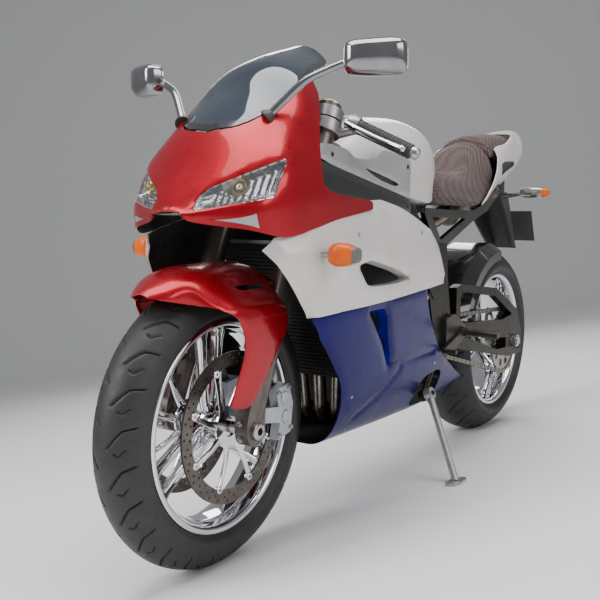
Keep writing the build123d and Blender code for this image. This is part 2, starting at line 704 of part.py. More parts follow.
with BuildPart() as rear_shock:
    shock_low = Vector(-229, 0, 340)
    shock_run = (shock_mount - shock_low).normalized()
    shock_high = shock_mount - shock_run * (shock_tube_radius + fit_gap)
    bar(shock_low, shock_high, 11)
    bar(shock_low + (shock_high - shock_low) * 0.44, shock_low + (shock_high - shock_low) * 0.86, 27)
    slab([(-242, 345), (-242, 375), (-214, 375), (-214, 345)], fit_gap - 82, 82 - fit_gap)
keep(rear_shock, "rear_shock")

# ---- tank, seats and tail ----
# tank sections: x, half widths and heights from the bottom up
tank_rows = [
    (322, (112, 800), (106, 868), (46, 908)),
    (230, (132, 790), (124, 892), (76, 950)),
    (50, (140, 772), (146, 896), (90, 980)),
    (-70, (128, 762), (132, 892), (84, 974)),
    (-160, (96, 800), (96, 880), (64, 950)),
    (-215, (70, 858), (64, 880), (44, 918)),
]
with BuildPart() as fuel_tank:
    sections = []
    for x, *half in tank_rows:
        with BuildSketch(Plane.YZ.offset(x)) as section:
            Polygon(*half, *[(-y, z) for y, z in half[::-1]], align=None)
        sections.append(section.sketch)
    loft(sections, ruled=True)
    add(main_frame.part, mode=Mode.SUBTRACT)
keep(fuel_tank, "fuel_tank")

# rider's seat: a dished pad behind the tank that climbs to the pillion pad
seat_rows = [
    (-84, (134, 756), (138, 800), (126, 852), (84, 856)),
    (-230, (134, 748), (138, 800), (122, 850), (80, 856)),
    (-400, (128, 748), (134, 800), (114, 858), (76, 864)),
    (-500, (118, 776), (124, 830), (108, 894), (70, 926)),
    (-588, (100, 826), (112, 880), (98, 930), (58, 974)),
]
with BuildPart() as rider_seat:
    sections = []
    for x, *half in seat_rows:
        with BuildSketch(Plane.YZ.offset(x)) as section:
            Polygon(*half, *[(-y, z) for y, z in half[::-1]], align=None)
        sections.append(section.sketch)
    loft(sections, ruled=True)
    add(fuel_tank.part, mode=Mode.SUBTRACT)
    tunnel = (silencer_end - silencer_start).normalized()
    bar(silencer_start - tunnel * 70, silencer_start + tunnel * 240, silencer_radius + 5, mode=Mode.SUBTRACT)
keep(rider_seat, "rider_seat")

pillion_rows = [
    (-588.4, (98, 902), (96, 930), (58, 974)),
    (-700, (92, 928), (90, 952), (60, 990)),
    (-800, (74, 954), (72, 974), (50, 998)),
    (-852, (48, 976), (46, 985), (32, 994)),
]
with BuildPart() as pillion_seat:
    sections = []
    for x, *half in pillion_rows:
        with BuildSketch(Plane.YZ.offset(x)) as section:
            Polygon(*half, *[(-y, z) for y, z in half[::-1]], align=None)
        sections.append(section.sketch)
    loft(sections, ruled=True)
keep(pillion_seat, "pillion_seat")

# side plates of the subframe with a V between the pivot plates and the seat
rail_inner = pivot_plate_inner - fit_gap - 14
rail_outer = pivot_plate_inner - fit_gap
subframe_outline = [(-66, 750), (-230, 744), (-400, 744), (-500, 768), (-590, 816), (-606, 796), (-508, 742),
                    (-404, 714), (-172, 630), (-140, 640), (-60, 735)]
subframe_window = [(-112, 726), (-236, 721), (-340, 719), (-168, 660)]
tail_rail = [(-584, 812), (-584, 842), (-858, 912), (-858, 884), (-606, 796)]
with BuildPart() as subframe:
    for side in (1, -1):
        low, high = sorted((side * rail_inner, side * rail_outer))
        slab(subframe_outline, low, high)
        slab(subframe_window, low, high, mode=Mode.SUBTRACT)
        low, high = sorted((side * 56, side * rail_outer))
        slab([(-584, 800), (-584, 830), (-600, 830), (-606, 796)], low, high)
        low, high = sorted((side * 56, side * 66))
        slab(tail_rail, low, high)
    with BuildSketch(wheel_plane(Vector(-150, 0, 650), rail_inner + 2)):
        Circle(11)
    extrude(amount=2 * rail_inner + 4)
    add(rider_seat.part, mode=Mode.SUBTRACT)
    add(pillion_seat.part, mode=Mode.SUBTRACT)
keep(subframe, "subframe")

# tail cowl: side walls beside the pillion pad and a closed deck behind it
cowl_rows = [
    (-440, ((126, 757), (141, 782), (141, 790), (138, 796))),
    (-520, ((112, 776), (134, 818), (132, 850), (118, 868))),
    (-600, ((96, 798), (128, 850), (122, 900), (106, 935))),
    (-700, ((82, 828), (118, 880), (112, 925), (104, 958))),
    (-800, ((72, 860), (108, 905), (100, 950), (88, 990))),
    (-862, ((62, 890), (100, 928), (88, 976), (60, 1008))),
]
deck_rows = [
    (-862, whole_section([(62, 890), (100, 928), (88, 976), (60, 1008), (0, 1012)])),
    (-930, whole_section([(44, 938), (76, 965), (66, 1000), (40, 1022), (0, 1026)])),
    (-978, whole_section([(24, 984), (46, 1000), (42, 1018), (18, 1031), (0, 1032)])),
]
with BuildPart() as cowl_wall:
    skin_loft(cowl_rows, skin)
with BuildPart() as whole_cowl:
    add(both_sides(cowl_wall.part))
    skin_loft(deck_rows, skin)
    slab([(-430, 730), (-436, 762), (-500, 815), (-560, 866), (-594, 915), (-596, 1060),
          (-1010, 1060), (-1010, 730)],
         -200, 200, mode=Mode.INTERSECT)
    for side in (1, -1):
        low, high = sorted((side * (66 + fit_gap), side * 104))
        slab([(-700, 850), (-700, 866), (-716, 870), (-716, 854)], low, high)
    add(rider_seat.part, mode=Mode.SUBTRACT)
    add(pillion_seat.part, mode=Mode.SUBTRACT)
    add(subframe.part, mode=Mode.SUBTRACT)
with BuildPart() as tail_cowl:
    # without the crumbs that the subframe cuts off the lower edge
    add(whole_cowl.part.solids().sort_by(SortBy.VOLUME)[-1])
keep(tail_cowl, "tail_cowl")

with BuildPart() as tail_light:
    front_slab([(-30, 992), (-34, 1004), (-14, 1026), (14, 1026), (34, 1004), (30, 992), (16, 986), (-16, 986)],
               -984, -964)
    add(tail_cowl.part, mode=Mode.SUBTRACT)
keep(tail_light, "tail_light")

# mudguard below the tail with the plate's bracket
plate_top, plate_foot = (-984.0, 741.0), (-1029.0, 634.0)


def on_plate(z, ahead=0.0):
    share = (plate_top[1] - z) / (plate_top[1] - plate_foot[1])
    return (plate_top[0] + share * (plate_foot[0] - plate_top[0]) + ahead, z)


with BuildPart() as rear_mudguard:
    for inset, mode in ((0.0, Mode.ADD), (skin, Mode.SUBTRACT)):
        sections = []
        for z, x_front, x_rear, half in ((806, -742, -852, 66), (700, -842, -918, 62), (608, -950, -992, 52)):
            drop = inset * 3 if z < 650 else 0
            with BuildSketch(Plane.XY.offset(z - drop)) as section:
                Polygon((x_front + inset * 4, half - inset), (x_rear + inset, half - inset - 12),
                        (x_rear + inset, 12 + inset - half), (x_front + inset * 4, inset - half), align=None)
            sections.append(section.sketch)
        loft(sections, ruled=True, mode=mode)
    slab([on_plate(702, 0.4), on_plate(678, 0.4), (-935.3, 676), (-915, 702)], -22, 22)
    for side in (1, -1):
        low, high = sorted((side * 57, side * 65))
        slab([(-752, 800), (-752, 862), (-790, 866), (-790, 800)], low, high)
    add(subframe.part, mode=Mode.SUBTRACT)
keep(rear_mudguard, "rear_mudguard")

with BuildPart() as number_plate:
    plate_run = Vector(plate_foot[0] - plate_top[0], plate_foot[1] - plate_top[1]).normalized()
    outward = Vector(plate_run.Y, -plate_run.X) * 3
    slab([plate_top, plate_foot, (plate_foot[0] + outward.X, plate_foot[1] + outward.Y),
          (plate_top[0] + outward.X, plate_top[1] + outward.Y)], -95, 95)
keep(number_plate, "number_plate")

with BuildPart() as rear_signal:
    bar((-776, 61, 790), (-776, 134, 800), 8)
    with BuildSketch(Plane.XZ.offset(-128)):
        with Locations((-776, 803)):
            RectangleRounded(44, 44, 12)
    extrude(amount=-100, taper=4)
    add(rear_mudguard.part, mode=Mode.SUBTRACT)
with BuildPart() as rear_indicators:
    add(both_sides(rear_signal.part.solids().sort_by(SortBy.VOLUME)[-1]))
keep(rear_indicators, "rear_indicators")

# ---- front fairing: one outer surface, split into nose, screen and lights ----
nose_rows = [
    (818, [(50, 722), (58, 730), (54, 736), (44, 741), (25, 745), (0, 746)]),
    (762, [(148, 728), (152, 752), (132, 778), (100, 802), (55, 822), (0, 828)]),
    (700, [(190, 700), (190, 790), (168, 838), (130, 872), (84, 900), (0, 908)]),
    (610, [(202, 706), (204, 800), (184, 860), (150, 925), (112, 968), (0, 1000)]),
    (540, [(207, 722), (208, 800), (188, 875), (146, 975), (92, 1042), (0, 1066)]),
    (374, [(207, 745), (207, 790), (175, 890), (140, 990), (106, 1064), (0, 1136)]),
]
nose_rows = [(x, whole_section(half)) for x, half in nose_rows]


def filled_loft(stations, inset):
    sections = []
    for x, outline in stations:
        with BuildSketch(Plane.YZ.offset(x)) as section:
            Polygon(*moved_in(outline, inset), align=None)
        sections.append(section.sketch)
    loft(sections, ruled=True)


screen_foot_x, screen_foot_z, screen_slope = 714.0, 895.0, 0.6


def screen_line(x, above=0.0):
    return (x, screen_foot_z + (screen_foot_x - x) * screen_slope + above)


lamp_outline = [(48, 741), (90, 748), (165, 765), (182, 838), (140, 830), (105, 813), (78, 786), (58, 760)]
lamp_plan = [(850, 30), (850, 240), (640, 240), (652, 172), (716, 100), (766, 46), (775, 30)]
nose_lower_edge = [(840, 690), (750, 686), (650, 700), (500, 730), (385, 748)]
nose_region = [*nose_lower_edge, (388, 766), (480, 770), (565, 778), (588, 797), (582, 837), (562, 897), (530, 940),
               (505, 985), screen_line(500, -fit_gap), screen_line(840, -fit_gap)]
screen_region = [screen_line(800, fit_gap), (800, 1200), (376, 1200), (376, 1110), (386, 1068),
                 screen_line(470, fit_gap)]
with BuildPart() as nose_core:
    filled_loft(nose_rows, skin / 2)
with BuildPart() as nose_lug:
    # from the end of the fairing stay's cross bar out into the panel's wall
    slab(stay_bar, stay_bar_half + fit_gap, 200)
    add(nose_core.part, mode=Mode.INTERSECT)
with BuildPart() as upper_fairing:
    skin_loft(nose_rows, skin)
    slab(nose_region, -300, 300, mode=Mode.INTERSECT)
    for side in (1, -1):
        front_slab([(side * y, z) for y, z in lamp_outline], 600, 900, mode=Mode.SUBTRACT)
    add(both_sides(nose_lug.part))
keep(upper_fairing, "upper_fairing")

with BuildPart() as windscreen:
    skin_loft(nose_rows, screen_wall)
    slab(screen_region, -300, 300, mode=Mode.INTERSECT)
keep(windscreen, "windscreen")

with BuildPart() as headlight:
    filled_loft(nose_rows, 0.0)
    with BuildSketch(Plane.XY.offset(700)):
        Polygon(*lamp_plan, align=None)
    extrude(amount=200, mode=Mode.INTERSECT)
    centre_y = sum(y for y, z in lamp_outline) / len(lamp_outline)
    centre_z = sum(z for y, z in lamp_outline) / len(lamp_outline)
    shrunk = [(centre_y + (y - centre_y) * 0.992, centre_z + (z - centre_z) * 0.992) for y, z in lamp_outline]
    front_slab(shrunk, 600, 900, mode=Mode.INTERSECT)
with BuildPart() as headlights:
    add(both_sides(headlight.part))
keep(headlights, "headlights")

with BuildPart() as instrument_panel:
    slab([(548, 940), (552, 984), (590, 968), (620, 945), (606, 935 + fit_gap), (570, 935 + fit_gap)], -70, 70)
keep(instrument_panel, "instrument_panel")

with BuildPart() as nose_inside:
    filled_loft(nose_rows, skin + fit_gap)
with BuildPart() as duct_panel:
    with BuildSketch(Plane.XY.offset(731)):
        Polygon((610, 230), (830, 230), (830, -230), (610, -230), align=None)
    extrude(amount=3)
    add(nose_inside.part, mode=Mode.INTERSECT)
keep(duct_panel, "duct_panel")

with BuildPart() as left_mirror:
    bar((652, 112, 926), (610, 172, 996), 8)
    bar((610, 172, 996), (578, 244, 1032), 7)
    with BuildSketch(Plane((566, 300, 1038), x_dir=(-0.42, 0.9, 0.02), z_dir=(-0.9, -0.42, 0.02))):
        RectangleRounded(130, 80, 30)
    extrude(amount=22, both=True, taper=8)
    add(upper_fairing.part, mode=Mode.SUBTRACT)
    add(windscreen.part, mode=Mode.SUBTRACT)
with BuildPart() as mirrors:
    add(both_sides(left_mirror.part.solids().sort_by(SortBy.VOLUME)[-1]))
keep(mirrors, "mirrors")

# ---- side and lower fairings: half sections from the bottom centre up to the top edge ----
side_rows = [
    (800, [(0, 195), (60, 195), (110, 290), (150, 400), (176, 530), (184, 640), (184, 790)]),
    (620, [(0, 195), (75, 195), (140, 290), (178, 400), (207, 530), (216, 640), (206, 790)]),
    (440, [(0, 193), (88, 193), (158, 290), (190, 400), (217, 530), (226, 640), (210, 790)]),
    (250, [(0, 191), (94, 191), (160, 290), (186, 400), (208, 530), (220, 640), (198, 790)]),
    (60, [(0, 190), (98, 190), (156, 290), (176, 400), (192, 530), (200, 640), (176, 790)]),
    (-140, [(0, 192), (98, 192), (146, 290), (158, 400), (170, 530), (174, 640), (160, 790)]),
    (-400, [(0, 215), (92, 215), (112, 290), (120, 400), (130, 530), (140, 640), (140, 790)]),
]
white_top = [(745, 664), (722, 689.7), (650, 699.6), (500, 729.6), (385, 747.6), (383, 766), (330, 766), (220, 749),
             (125, 726), (20, 694), (-36, 651), (-100, 568), (-78, 550)]
split_line = [(94, 543), (306, 535), (500, 530), (610, 524)]
white_front = [(672, 556), (704, 606)]
blue_rear = [(-400, 150), (-400, 240), (-369, 240), (-150, 328), (-93, 357), (-28, 411), (45, 487), (72, 542)]
blue_front = [(600, 500), (578, 472), (505, 404), (460, 358), (436, 303), (414, 249), (400, 150)]
side_vent = [(470, 624), (415, 635), (268, 604), (190, 580), (265, 573), (423, 574)]
low_vent = [(385, 520), (325, 520), (215, 372)]
centre_gap = 0.3


# standoffs from the radiator's ends out into the middle of the panels' walls
with BuildPart() as side_core:
    filled_loft([(x, [*moved_in(half, skin / 2), (0, 795)]) for x, half in side_rows], 0.0)
with BuildPart() as upper_standoff:
    slab([(430, 642), (430, 660), (446, 660), (446, 642)], radiator_half_width + fit_gap, 260)
    add(side_core.part, mode=Mode.INTERSECT)
with BuildPart() as lower_standoff:
    slab([(372, 400), (372, 420), (384, 420), (384, 400)], radiator_half_width + fit_gap, 260)
    add(side_core.part, mode=Mode.INTERSECT)

with BuildPart() as left_side_fairing:
    skin_loft(side_rows, skin)
    slab(white_top + split_line + white_front, centre_gap / 2, 300, mode=Mode.INTERSECT)
    slab(side_vent, 100, 300, mode=Mode.SUBTRACT)
    add(upper_standoff.part)
keep(left_side_fairing, "side_fairing_left")
with BuildPart() as right_side_fairing:
    add(mirror(left_side_fairing.part, about=Plane.XZ))
keep(right_side_fairing, "side_fairing_right")

with BuildPart() as left_lower_fairing:
    skin_loft(side_rows, skin)
    slab(blue_rear + [(x, z - 2 * fit_gap) for x, z in split_line] + blue_front, centre_gap / 2, 300,
         mode=Mode.INTERSECT)
    slab(low_vent, 100, 300, mode=Mode.SUBTRACT)
    add(lower_standoff.part)
with BuildPart() as right_lower_fairing:
    add(mirror(left_lower_fairing.part, about=Plane.XZ))
keep(right_lower_fairing, "lower_fairing_right")
with BuildPart() as cut_lower_fairing:
    add(left_lower_fairing.part)
    slab([(-140, 220), (-140, 312), (20, 300), (20, 215)], 96, 250, mode=Mode.SUBTRACT)
keep(cut_lower_fairing, "lower_fairing_left")

with BuildPart() as front_signal:
    bar((606, 212, 655), (606, 242, 655), 8)
    with BuildSketch(Plane.XZ.offset(-238)):
        with Locations((606, 655)):
            RectangleRounded(46, 46, 12)
    extrude(amount=-62, taper=4)
    add(left_side_fairing.part, mode=Mode.SUBTRACT)
with BuildPart() as front_indicators:
    add(both_sides(front_signal.part.solids().sort_by(SortBy.VOLUME)[-1]))
keep(front_indicators, "front_indicators")

# ---- plates between the fairing and the tank ----
panel_inner, panel_outer = 148.0, 152.0
with BuildPart() as infill:
    slab([(545, 800), (545, 846), (518, 848), (130, 778), (92, 768), (84, 730), (330, 752), (480, 765)],
         panel_inner, panel_outer)
    bar((250, 134, 764), (250, panel_inner + 2, 764), 8)
with BuildPart() as infill_panels:
    add(both_sides(infill.part))
keep(infill_panels, "infill_panels")

with BuildPart() as tank_side:
    # the top edge dips where the bars sweep over it
    slab([(518, 848.6), (130, 778.6), (95, 772), (88, 868), (150, 878), (240, 886), (284, 858), (368, 858),
          (406, 878), (480, 885), (518, 884)], panel_inner, panel_outer)
    bar((170, 120, 840), (170, panel_inner + 2, 840), 8)
    add(fuel_tank.part, mode=Mode.SUBTRACT)
with BuildPart() as tank_covers:
    add(both_sides(tank_side.part.solids().sort_by(SortBy.VOLUME)[-1]))
keep(tank_covers, "tank_covers")

# ---- rider's feet ----
with BuildPart() as footrest:
    hanger = arm_inner + arm_thickness + 0.6
    slab([(-150, 440), (-150, 350), (-200, 340), (-285, 376), (-285, 410), (-205, 450)], hanger, hanger + 7)
    slab([(-150, 440), (-150, 350), (-186, 345), (-186, 446)], pivot_plate_inner + pivot_plate_thickness + fit_gap,
         hanger + 2)
    bar((-264, hanger, 393), (-264, 166, 393), 14)
    bar((-264, 160, 393), (-264, 258, 389), 10)
with BuildPart() as footrests:
    add(both_sides(footrest.part))
keep(footrests, "footrests")

with BuildPart() as foot_lever:
    slab([(-255, 386), (-255, 400), (-120, 360), (-120, 348)], 151, 158)
    bar((-126, 151, 354), (-126, 192, 354), 6.5)
    add(footrest.part, mode=Mode.SUBTRACT)
with BuildPart() as foot_levers:
    add(both_sides(foot_lever.part))
keep(foot_levers, "foot_levers")

# ---- the parked bike, standing on its tyres and its side stand ----
parked = {name: piece.moved(leaning) for name, piece in pieces.items()}
boxes = [piece.bounding_box() for piece in parked.values()]
low_corner = [min(tuple(box.min)[axis] for box in boxes) for axis in range(3)]
high_corner = [max(tuple(box.max)[axis] for box in boxes) for axis in range(3)]
centring = Pos(-(low_corner[0] + high_corner[0]) / 2, -(low_corner[1] + high_corner[1]) / 2, 0)
parking = centring * leaning
for name, piece in pieces.items():
    parked_piece = piece.moved(parking)
    parked_piece.label = name
    export_step(parked_piece, f"parts/{name}.step")


def report(label, point, direction):
    # a point and a direction of the upright bike, as they lie on the parked bike
    there = (parking * Pos(point)).position
    further = (parking * Pos(point + direction)).position
    line = further - there
    print(label, [round(value, 4) for value in (*there, *line.normalized())])


print("nodes", len(pieces), "lowest", low_corner, "highest", high_corner)
side_axis = Vector(0, 1, 0)
report("front_axle", front_axle, side_axis)
report("rear_axle", rear_axle, side_axis)
report("steering", steering.from_local_coords(Vector(0, 0, 900)), steering.z_dir)
report("stand", stand_eye, stand_pin)
report("stand_swing", Vector(stand_swing, 0, 0), side_axis)
print("stand_swing_deg", round(stand_swing, 3))
for name, piece in pieces.items():
    if not piece.is_valid:
        print("not valid:", name)
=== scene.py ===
import json
import bmesh
import bpy
from math import atan2, ceil, copysign, cos, hypot, pi, radians, sin, sqrt
from mathutils import Matrix, Vector
from mathutils.geometry import delaunay_2d_cdt


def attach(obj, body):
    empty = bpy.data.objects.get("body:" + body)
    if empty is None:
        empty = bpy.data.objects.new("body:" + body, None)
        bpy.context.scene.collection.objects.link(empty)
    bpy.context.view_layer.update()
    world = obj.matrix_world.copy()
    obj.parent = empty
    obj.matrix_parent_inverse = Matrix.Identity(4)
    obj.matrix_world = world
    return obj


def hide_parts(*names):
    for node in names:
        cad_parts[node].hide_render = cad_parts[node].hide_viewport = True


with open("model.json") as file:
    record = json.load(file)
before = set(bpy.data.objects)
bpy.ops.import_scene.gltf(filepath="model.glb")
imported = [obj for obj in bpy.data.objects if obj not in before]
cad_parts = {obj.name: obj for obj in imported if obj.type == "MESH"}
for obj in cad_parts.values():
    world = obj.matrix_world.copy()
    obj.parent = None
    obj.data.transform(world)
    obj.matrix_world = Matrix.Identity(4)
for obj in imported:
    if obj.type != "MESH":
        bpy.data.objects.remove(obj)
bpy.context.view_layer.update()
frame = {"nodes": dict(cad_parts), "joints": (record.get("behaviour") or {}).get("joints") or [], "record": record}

# Sport motorcycle with a full fairing. Pieces are drawn on the upright bike in millimetres,
# x forward, y to the rider's left, z up, and then laid onto the leaning frame.
mm = 0.001
frontAxle = Vector((705, 0, 300))
rearAxle = Vector((-705, 0, 311))
joints = {joint["name"]: joint for joint in frame["joints"]}
slotOf = {part["node"]: part["material_slot"] for part in frame["record"]["subparts"]}
print("frame loaded,", len(frame["nodes"]), "nodes")


def axesFrom(along, side):
    along = along.normalized()
    up = along.cross(side).normalized()
    return Matrix((along, up.cross(along), up)).transposed()


def leaningMatrix():
    # both axles and their direction tell how the upright bike lies in the frame
    frontHub = Vector(joints["front_wheel_spin"]["pos_m"])
    rearHub = Vector(joints["rear_wheel_spin"]["pos_m"])
    side = Vector(joints["front_wheel_spin"]["axis"])
    drawn = axesFrom(frontAxle - rearAxle, Vector((0, 1, 0)))
    turn = axesFrom(frontHub - rearHub, side) @ drawn.transposed()
    return Matrix.Translation(frontHub - turn @ (frontAxle * mm)) @ turn.to_4x4()


leaning = leaningMatrix()


def makeCamera():
    view = {"place": (2061.4, 1135.2, 744.3), "azimuth": 33.79, "height": 6.04, "roll": 0.34, "focus": 860.16}
    turn, tip, roll = radians(view["azimuth"]), radians(view["height"]), radians(view["roll"])
    back = Vector((cos(turn) * cos(tip), sin(turn) * cos(tip), sin(tip)))
    right = Vector((0, 0, 1)).cross(back).normalized()
    up = back.cross(right)
    right, up = right * cos(roll) + up * sin(roll), up * cos(roll) - right * sin(roll)
    camera = bpy.data.objects.new("camera", bpy.data.cameras.new("camera"))
    bpy.context.scene.collection.objects.link(camera)
    turned = Matrix((right, up, back)).transposed().to_4x4()
    camera.matrix_world = leaning @ Matrix.Translation(Vector(view["place"]) * mm) @ turned
    camera.data.sensor_width = 36.0
    camera.data.lens = 36.0 * view["focus"] / 600      # the image is 600 by 600
    camera.data.clip_start, camera.data.clip_end = 0.05, 60
    bpy.context.scene.camera = camera


makeCamera()


def surface(colour, second, grain, rough, **more):
    # two colours mixed by noise of a grain in millimetres, a roughness from-to, then metal, coat, shine,
    # bump height and fine relief in millimetres, and whatever else the finish has
    return {"colour": colour, "second": second, "grain": grain, "rough": rough, **more}


finishSpecs = {
    "tyre_rubber": surface((0.016, 0.016, 0.0165), (0.023, 0.023, 0.0235), 30, (0.48, 0.58), bump=0.12,
                           fine=1.4),
    "wheel_chrome": surface((0.82, 0.82, 0.84), (0.74, 0.74, 0.77), 60, (0.03, 0.09), metal=1.0, bump=0.02,
                            fine=5),
    "disc_steel": surface((0.11, 0.095, 0.085), (0.17, 0.15, 0.135), 26, (0.28, 0.42), metal=0.9, bump=0.03,
                          fine=1.2),
    "sprocket_steel": surface((0.30, 0.29, 0.28), (0.40, 0.38, 0.36), 18, (0.28, 0.4), metal=1.0, bump=0.03,
                              fine=2),
    "chain_steel": surface((0.16, 0.13, 0.11), (0.30, 0.26, 0.22), 9, (0.3, 0.5), metal=0.9, bump=0.03,
                           fine=2),
    "fork_bronze": surface((0.12, 0.10, 0.09), (0.17, 0.145, 0.13), 30, (0.3, 0.42), metal=0.8, bump=0.04,
                           fine=1.5),
    "axle_steel": surface((0.55, 0.54, 0.53), (0.44, 0.43, 0.42), 15, (0.18, 0.3), metal=1.0, bump=0.02,
                          fine=2),
    "yoke_metal": surface((0.30, 0.29, 0.29), (0.38, 0.37, 0.36), 30, (0.3, 0.42), metal=0.9, bump=0.04,
                          fine=1.5),
    "grip_rubber": surface((0.020, 0.020, 0.021), (0.035, 0.034, 0.034), 8, (0.5, 0.66), bump=0.1, fine=1.5),
    "caliper_metal": surface((0.40, 0.42, 0.46), (0.50, 0.52, 0.55), 22, (0.3, 0.42), metal=0.6, bump=0.05,
                             fine=1.4),
    "red_paint": surface((0.36, 0.002, 0.010), (0.42, 0.004, 0.015), 90, (0.26, 0.32), metal=0.60, coat=0.35,
                         flake=0.02, shine=0.3),
    "frame_metal": surface((0.019, 0.016, 0.013), (0.032, 0.027, 0.022), 40, (0.3, 0.42), metal=0.6,
                           shine=0.3, bump=0.04, fine=2),
    "swingarm_bronze": surface((0.017, 0.013, 0.008), (0.030, 0.023, 0.014), 38, (0.30, 0.42), shine=0.3,
                               metal=0.7, bump=0.04, fine=1.6),
    "subframe_chrome": surface((0.16, 0.155, 0.15), (0.21, 0.205, 0.20), 40, (0.1, 0.2), metal=1.0,
                               bump=0.02, fine=4),
    "stand_metal": surface((0.50, 0.50, 0.51), (0.42, 0.42, 0.42), 18, (0.3, 0.44), metal=0.7, bump=0.05,
                           fine=2),
    "engine_metal": surface((0.075, 0.075, 0.077), (0.11, 0.108, 0.105), 22, (0.42, 0.56), metal=0.7,
                            bump=0.14, fine=1.6),
    "radiator_metal": surface((0.030, 0.028, 0.027), (0.055, 0.050, 0.046), 12, (0.4, 0.6), metal=0.6,
                              bump=0.08, fine=1.5),
    "exhaust_steel": surface((0.34, 0.31, 0.28), (0.24, 0.20, 0.17), 45, (0.24, 0.38), metal=1.0, bump=0.03,
                             fine=2),
    "shock_steel": surface((0.09, 0.09, 0.092), (0.14, 0.14, 0.14), 20, (0.25, 0.4), metal=0.8, bump=0.03,
                           fine=2),
    "white_paint": surface((0.63, 0.595, 0.575), (0.70, 0.665, 0.645), 120, (0.30, 0.38), metal=0.1,
                           coat=0.35, flake=0.03),
    "silver_paint": surface((0.40, 0.40, 0.40), (0.47, 0.465, 0.46), 110, (0.28, 0.36), metal=0.45, coat=0.5,
                            flake=0.06),
    "blue_paint": surface((0.004, 0.002, 0.085), (0.005, 0.003, 0.115), 100, (0.26, 0.32), metal=0.45,
                          coat=0.06, shine=0.14),
    "seat_fabric": surface((0.050, 0.031, 0.028), (0.115, 0.078, 0.072), 60, (0.74, 0.88), weave=7.0,
                           sheen=0.12, bump=0.9),
    "red_lens": surface((0.40, 0.010, 0.012), (0.52, 0.02, 0.02), 20, (0.08, 0.15), coat=1.0, bump=0.1,
                        fine=3),
    # the lens glows faintly in its own colour: painted glow, with no lamp behind it
    "orange_lens": surface((0.62, 0.085, 0.001), (0.70, 0.115, 0.002), 26, (0.25, 0.35), coat=0.15,
                           glow=0.05, shine=0.3),
    "black_plastic": surface((0.012, 0.012, 0.012), (0.020, 0.020, 0.020), 50, (0.12, 0.2), coat=0.8,
                             bump=0.02, fine=3),
    "dark_plastic": surface((0.026, 0.026, 0.027), (0.042, 0.041, 0.040), 22, (0.42, 0.56), bump=0.1,
                            fine=1.1),
    "grey_plastic": surface((0.115, 0.108, 0.102), (0.150, 0.140, 0.132), 26, (0.4, 0.52), bump=0.08,
                            fine=1.1),
    "plate_plastic": surface((0.055, 0.054, 0.054), (0.075, 0.073, 0.072), 30, (0.36, 0.5), bump=0.05,
                             fine=1.4),
    "smoked_screen": surface((0.020, 0.030, 0.045), (0.028, 0.041, 0.060), 160, (0.02, 0.05), coat=1.0,
                             see=0.86),
    "lamp_glass": surface((0.30, 0.31, 0.32), (0.26, 0.27, 0.28), 60, (0.02, 0.04), coat=1.0, see=0.10),
    "mirror_housing": surface((0.24, 0.24, 0.25), (0.31, 0.31, 0.32), 50, (0.10, 0.18), metal=0.95, coat=0.6,
                              bump=0.02, fine=4),
    "footrest_metal": surface((0.075, 0.067, 0.055), (0.055, 0.049, 0.040), 16, (0.3, 0.44), metal=0.75,
                              bump=0.06, fine=1.4),
    # finishes that only the looks need
    "lampGold": surface((0.75, 0.50, 0.10), (0.62, 0.38, 0.06), 12, (0.12, 0.22), metal=1.0, bump=0.03,
                        fine=2),
    "lampChrome": surface((0.42, 0.42, 0.44), (0.34, 0.34, 0.36), 30, (0.08, 0.16), metal=1.0, bump=0.03,
                          fine=3),
    # painted shade: a near-black copy of the tyre rubber for the floors of the deep grooves
    "paintedGrooveShade": surface((0.004, 0.004, 0.004), (0.008, 0.008, 0.008), 10, (0.7, 0.85), bump=0.05,
                          fine=1.2),
    "mirrorGlass": surface((0.70, 0.72, 0.74), (0.66, 0.68, 0.70), 80, (0.01, 0.03), metal=1.0),
    "boltSteel": surface((0.50, 0.49, 0.47), (0.38, 0.37, 0.36), 6, (0.2, 0.36), metal=1.0, bump=0.03,
                         fine=1.5),
    # a brighter copy of the blue paint for the walls of the slot's duct: painted light
    "blueWithPaintedLight": surface((0.003, 0.006, 0.30), (0.004, 0.008, 0.38), 70, (0.2, 0.28), metal=0.4, coat=0.3),
}
finishes = {}


def addNode(tree, kind, values=(), wires=(), **settings):
    # a node with its settings, the values in its sockets and the wires into them
    node = tree.nodes.new("ShaderNode" + kind)
    for key, value in settings.items():
        setattr(node, key, value)
    for socket, value in dict(values).items():
        node.inputs[socket].default_value = value
    for socket, source in dict(wires).items():
        tree.links.new(source, node.inputs[socket])
    return node


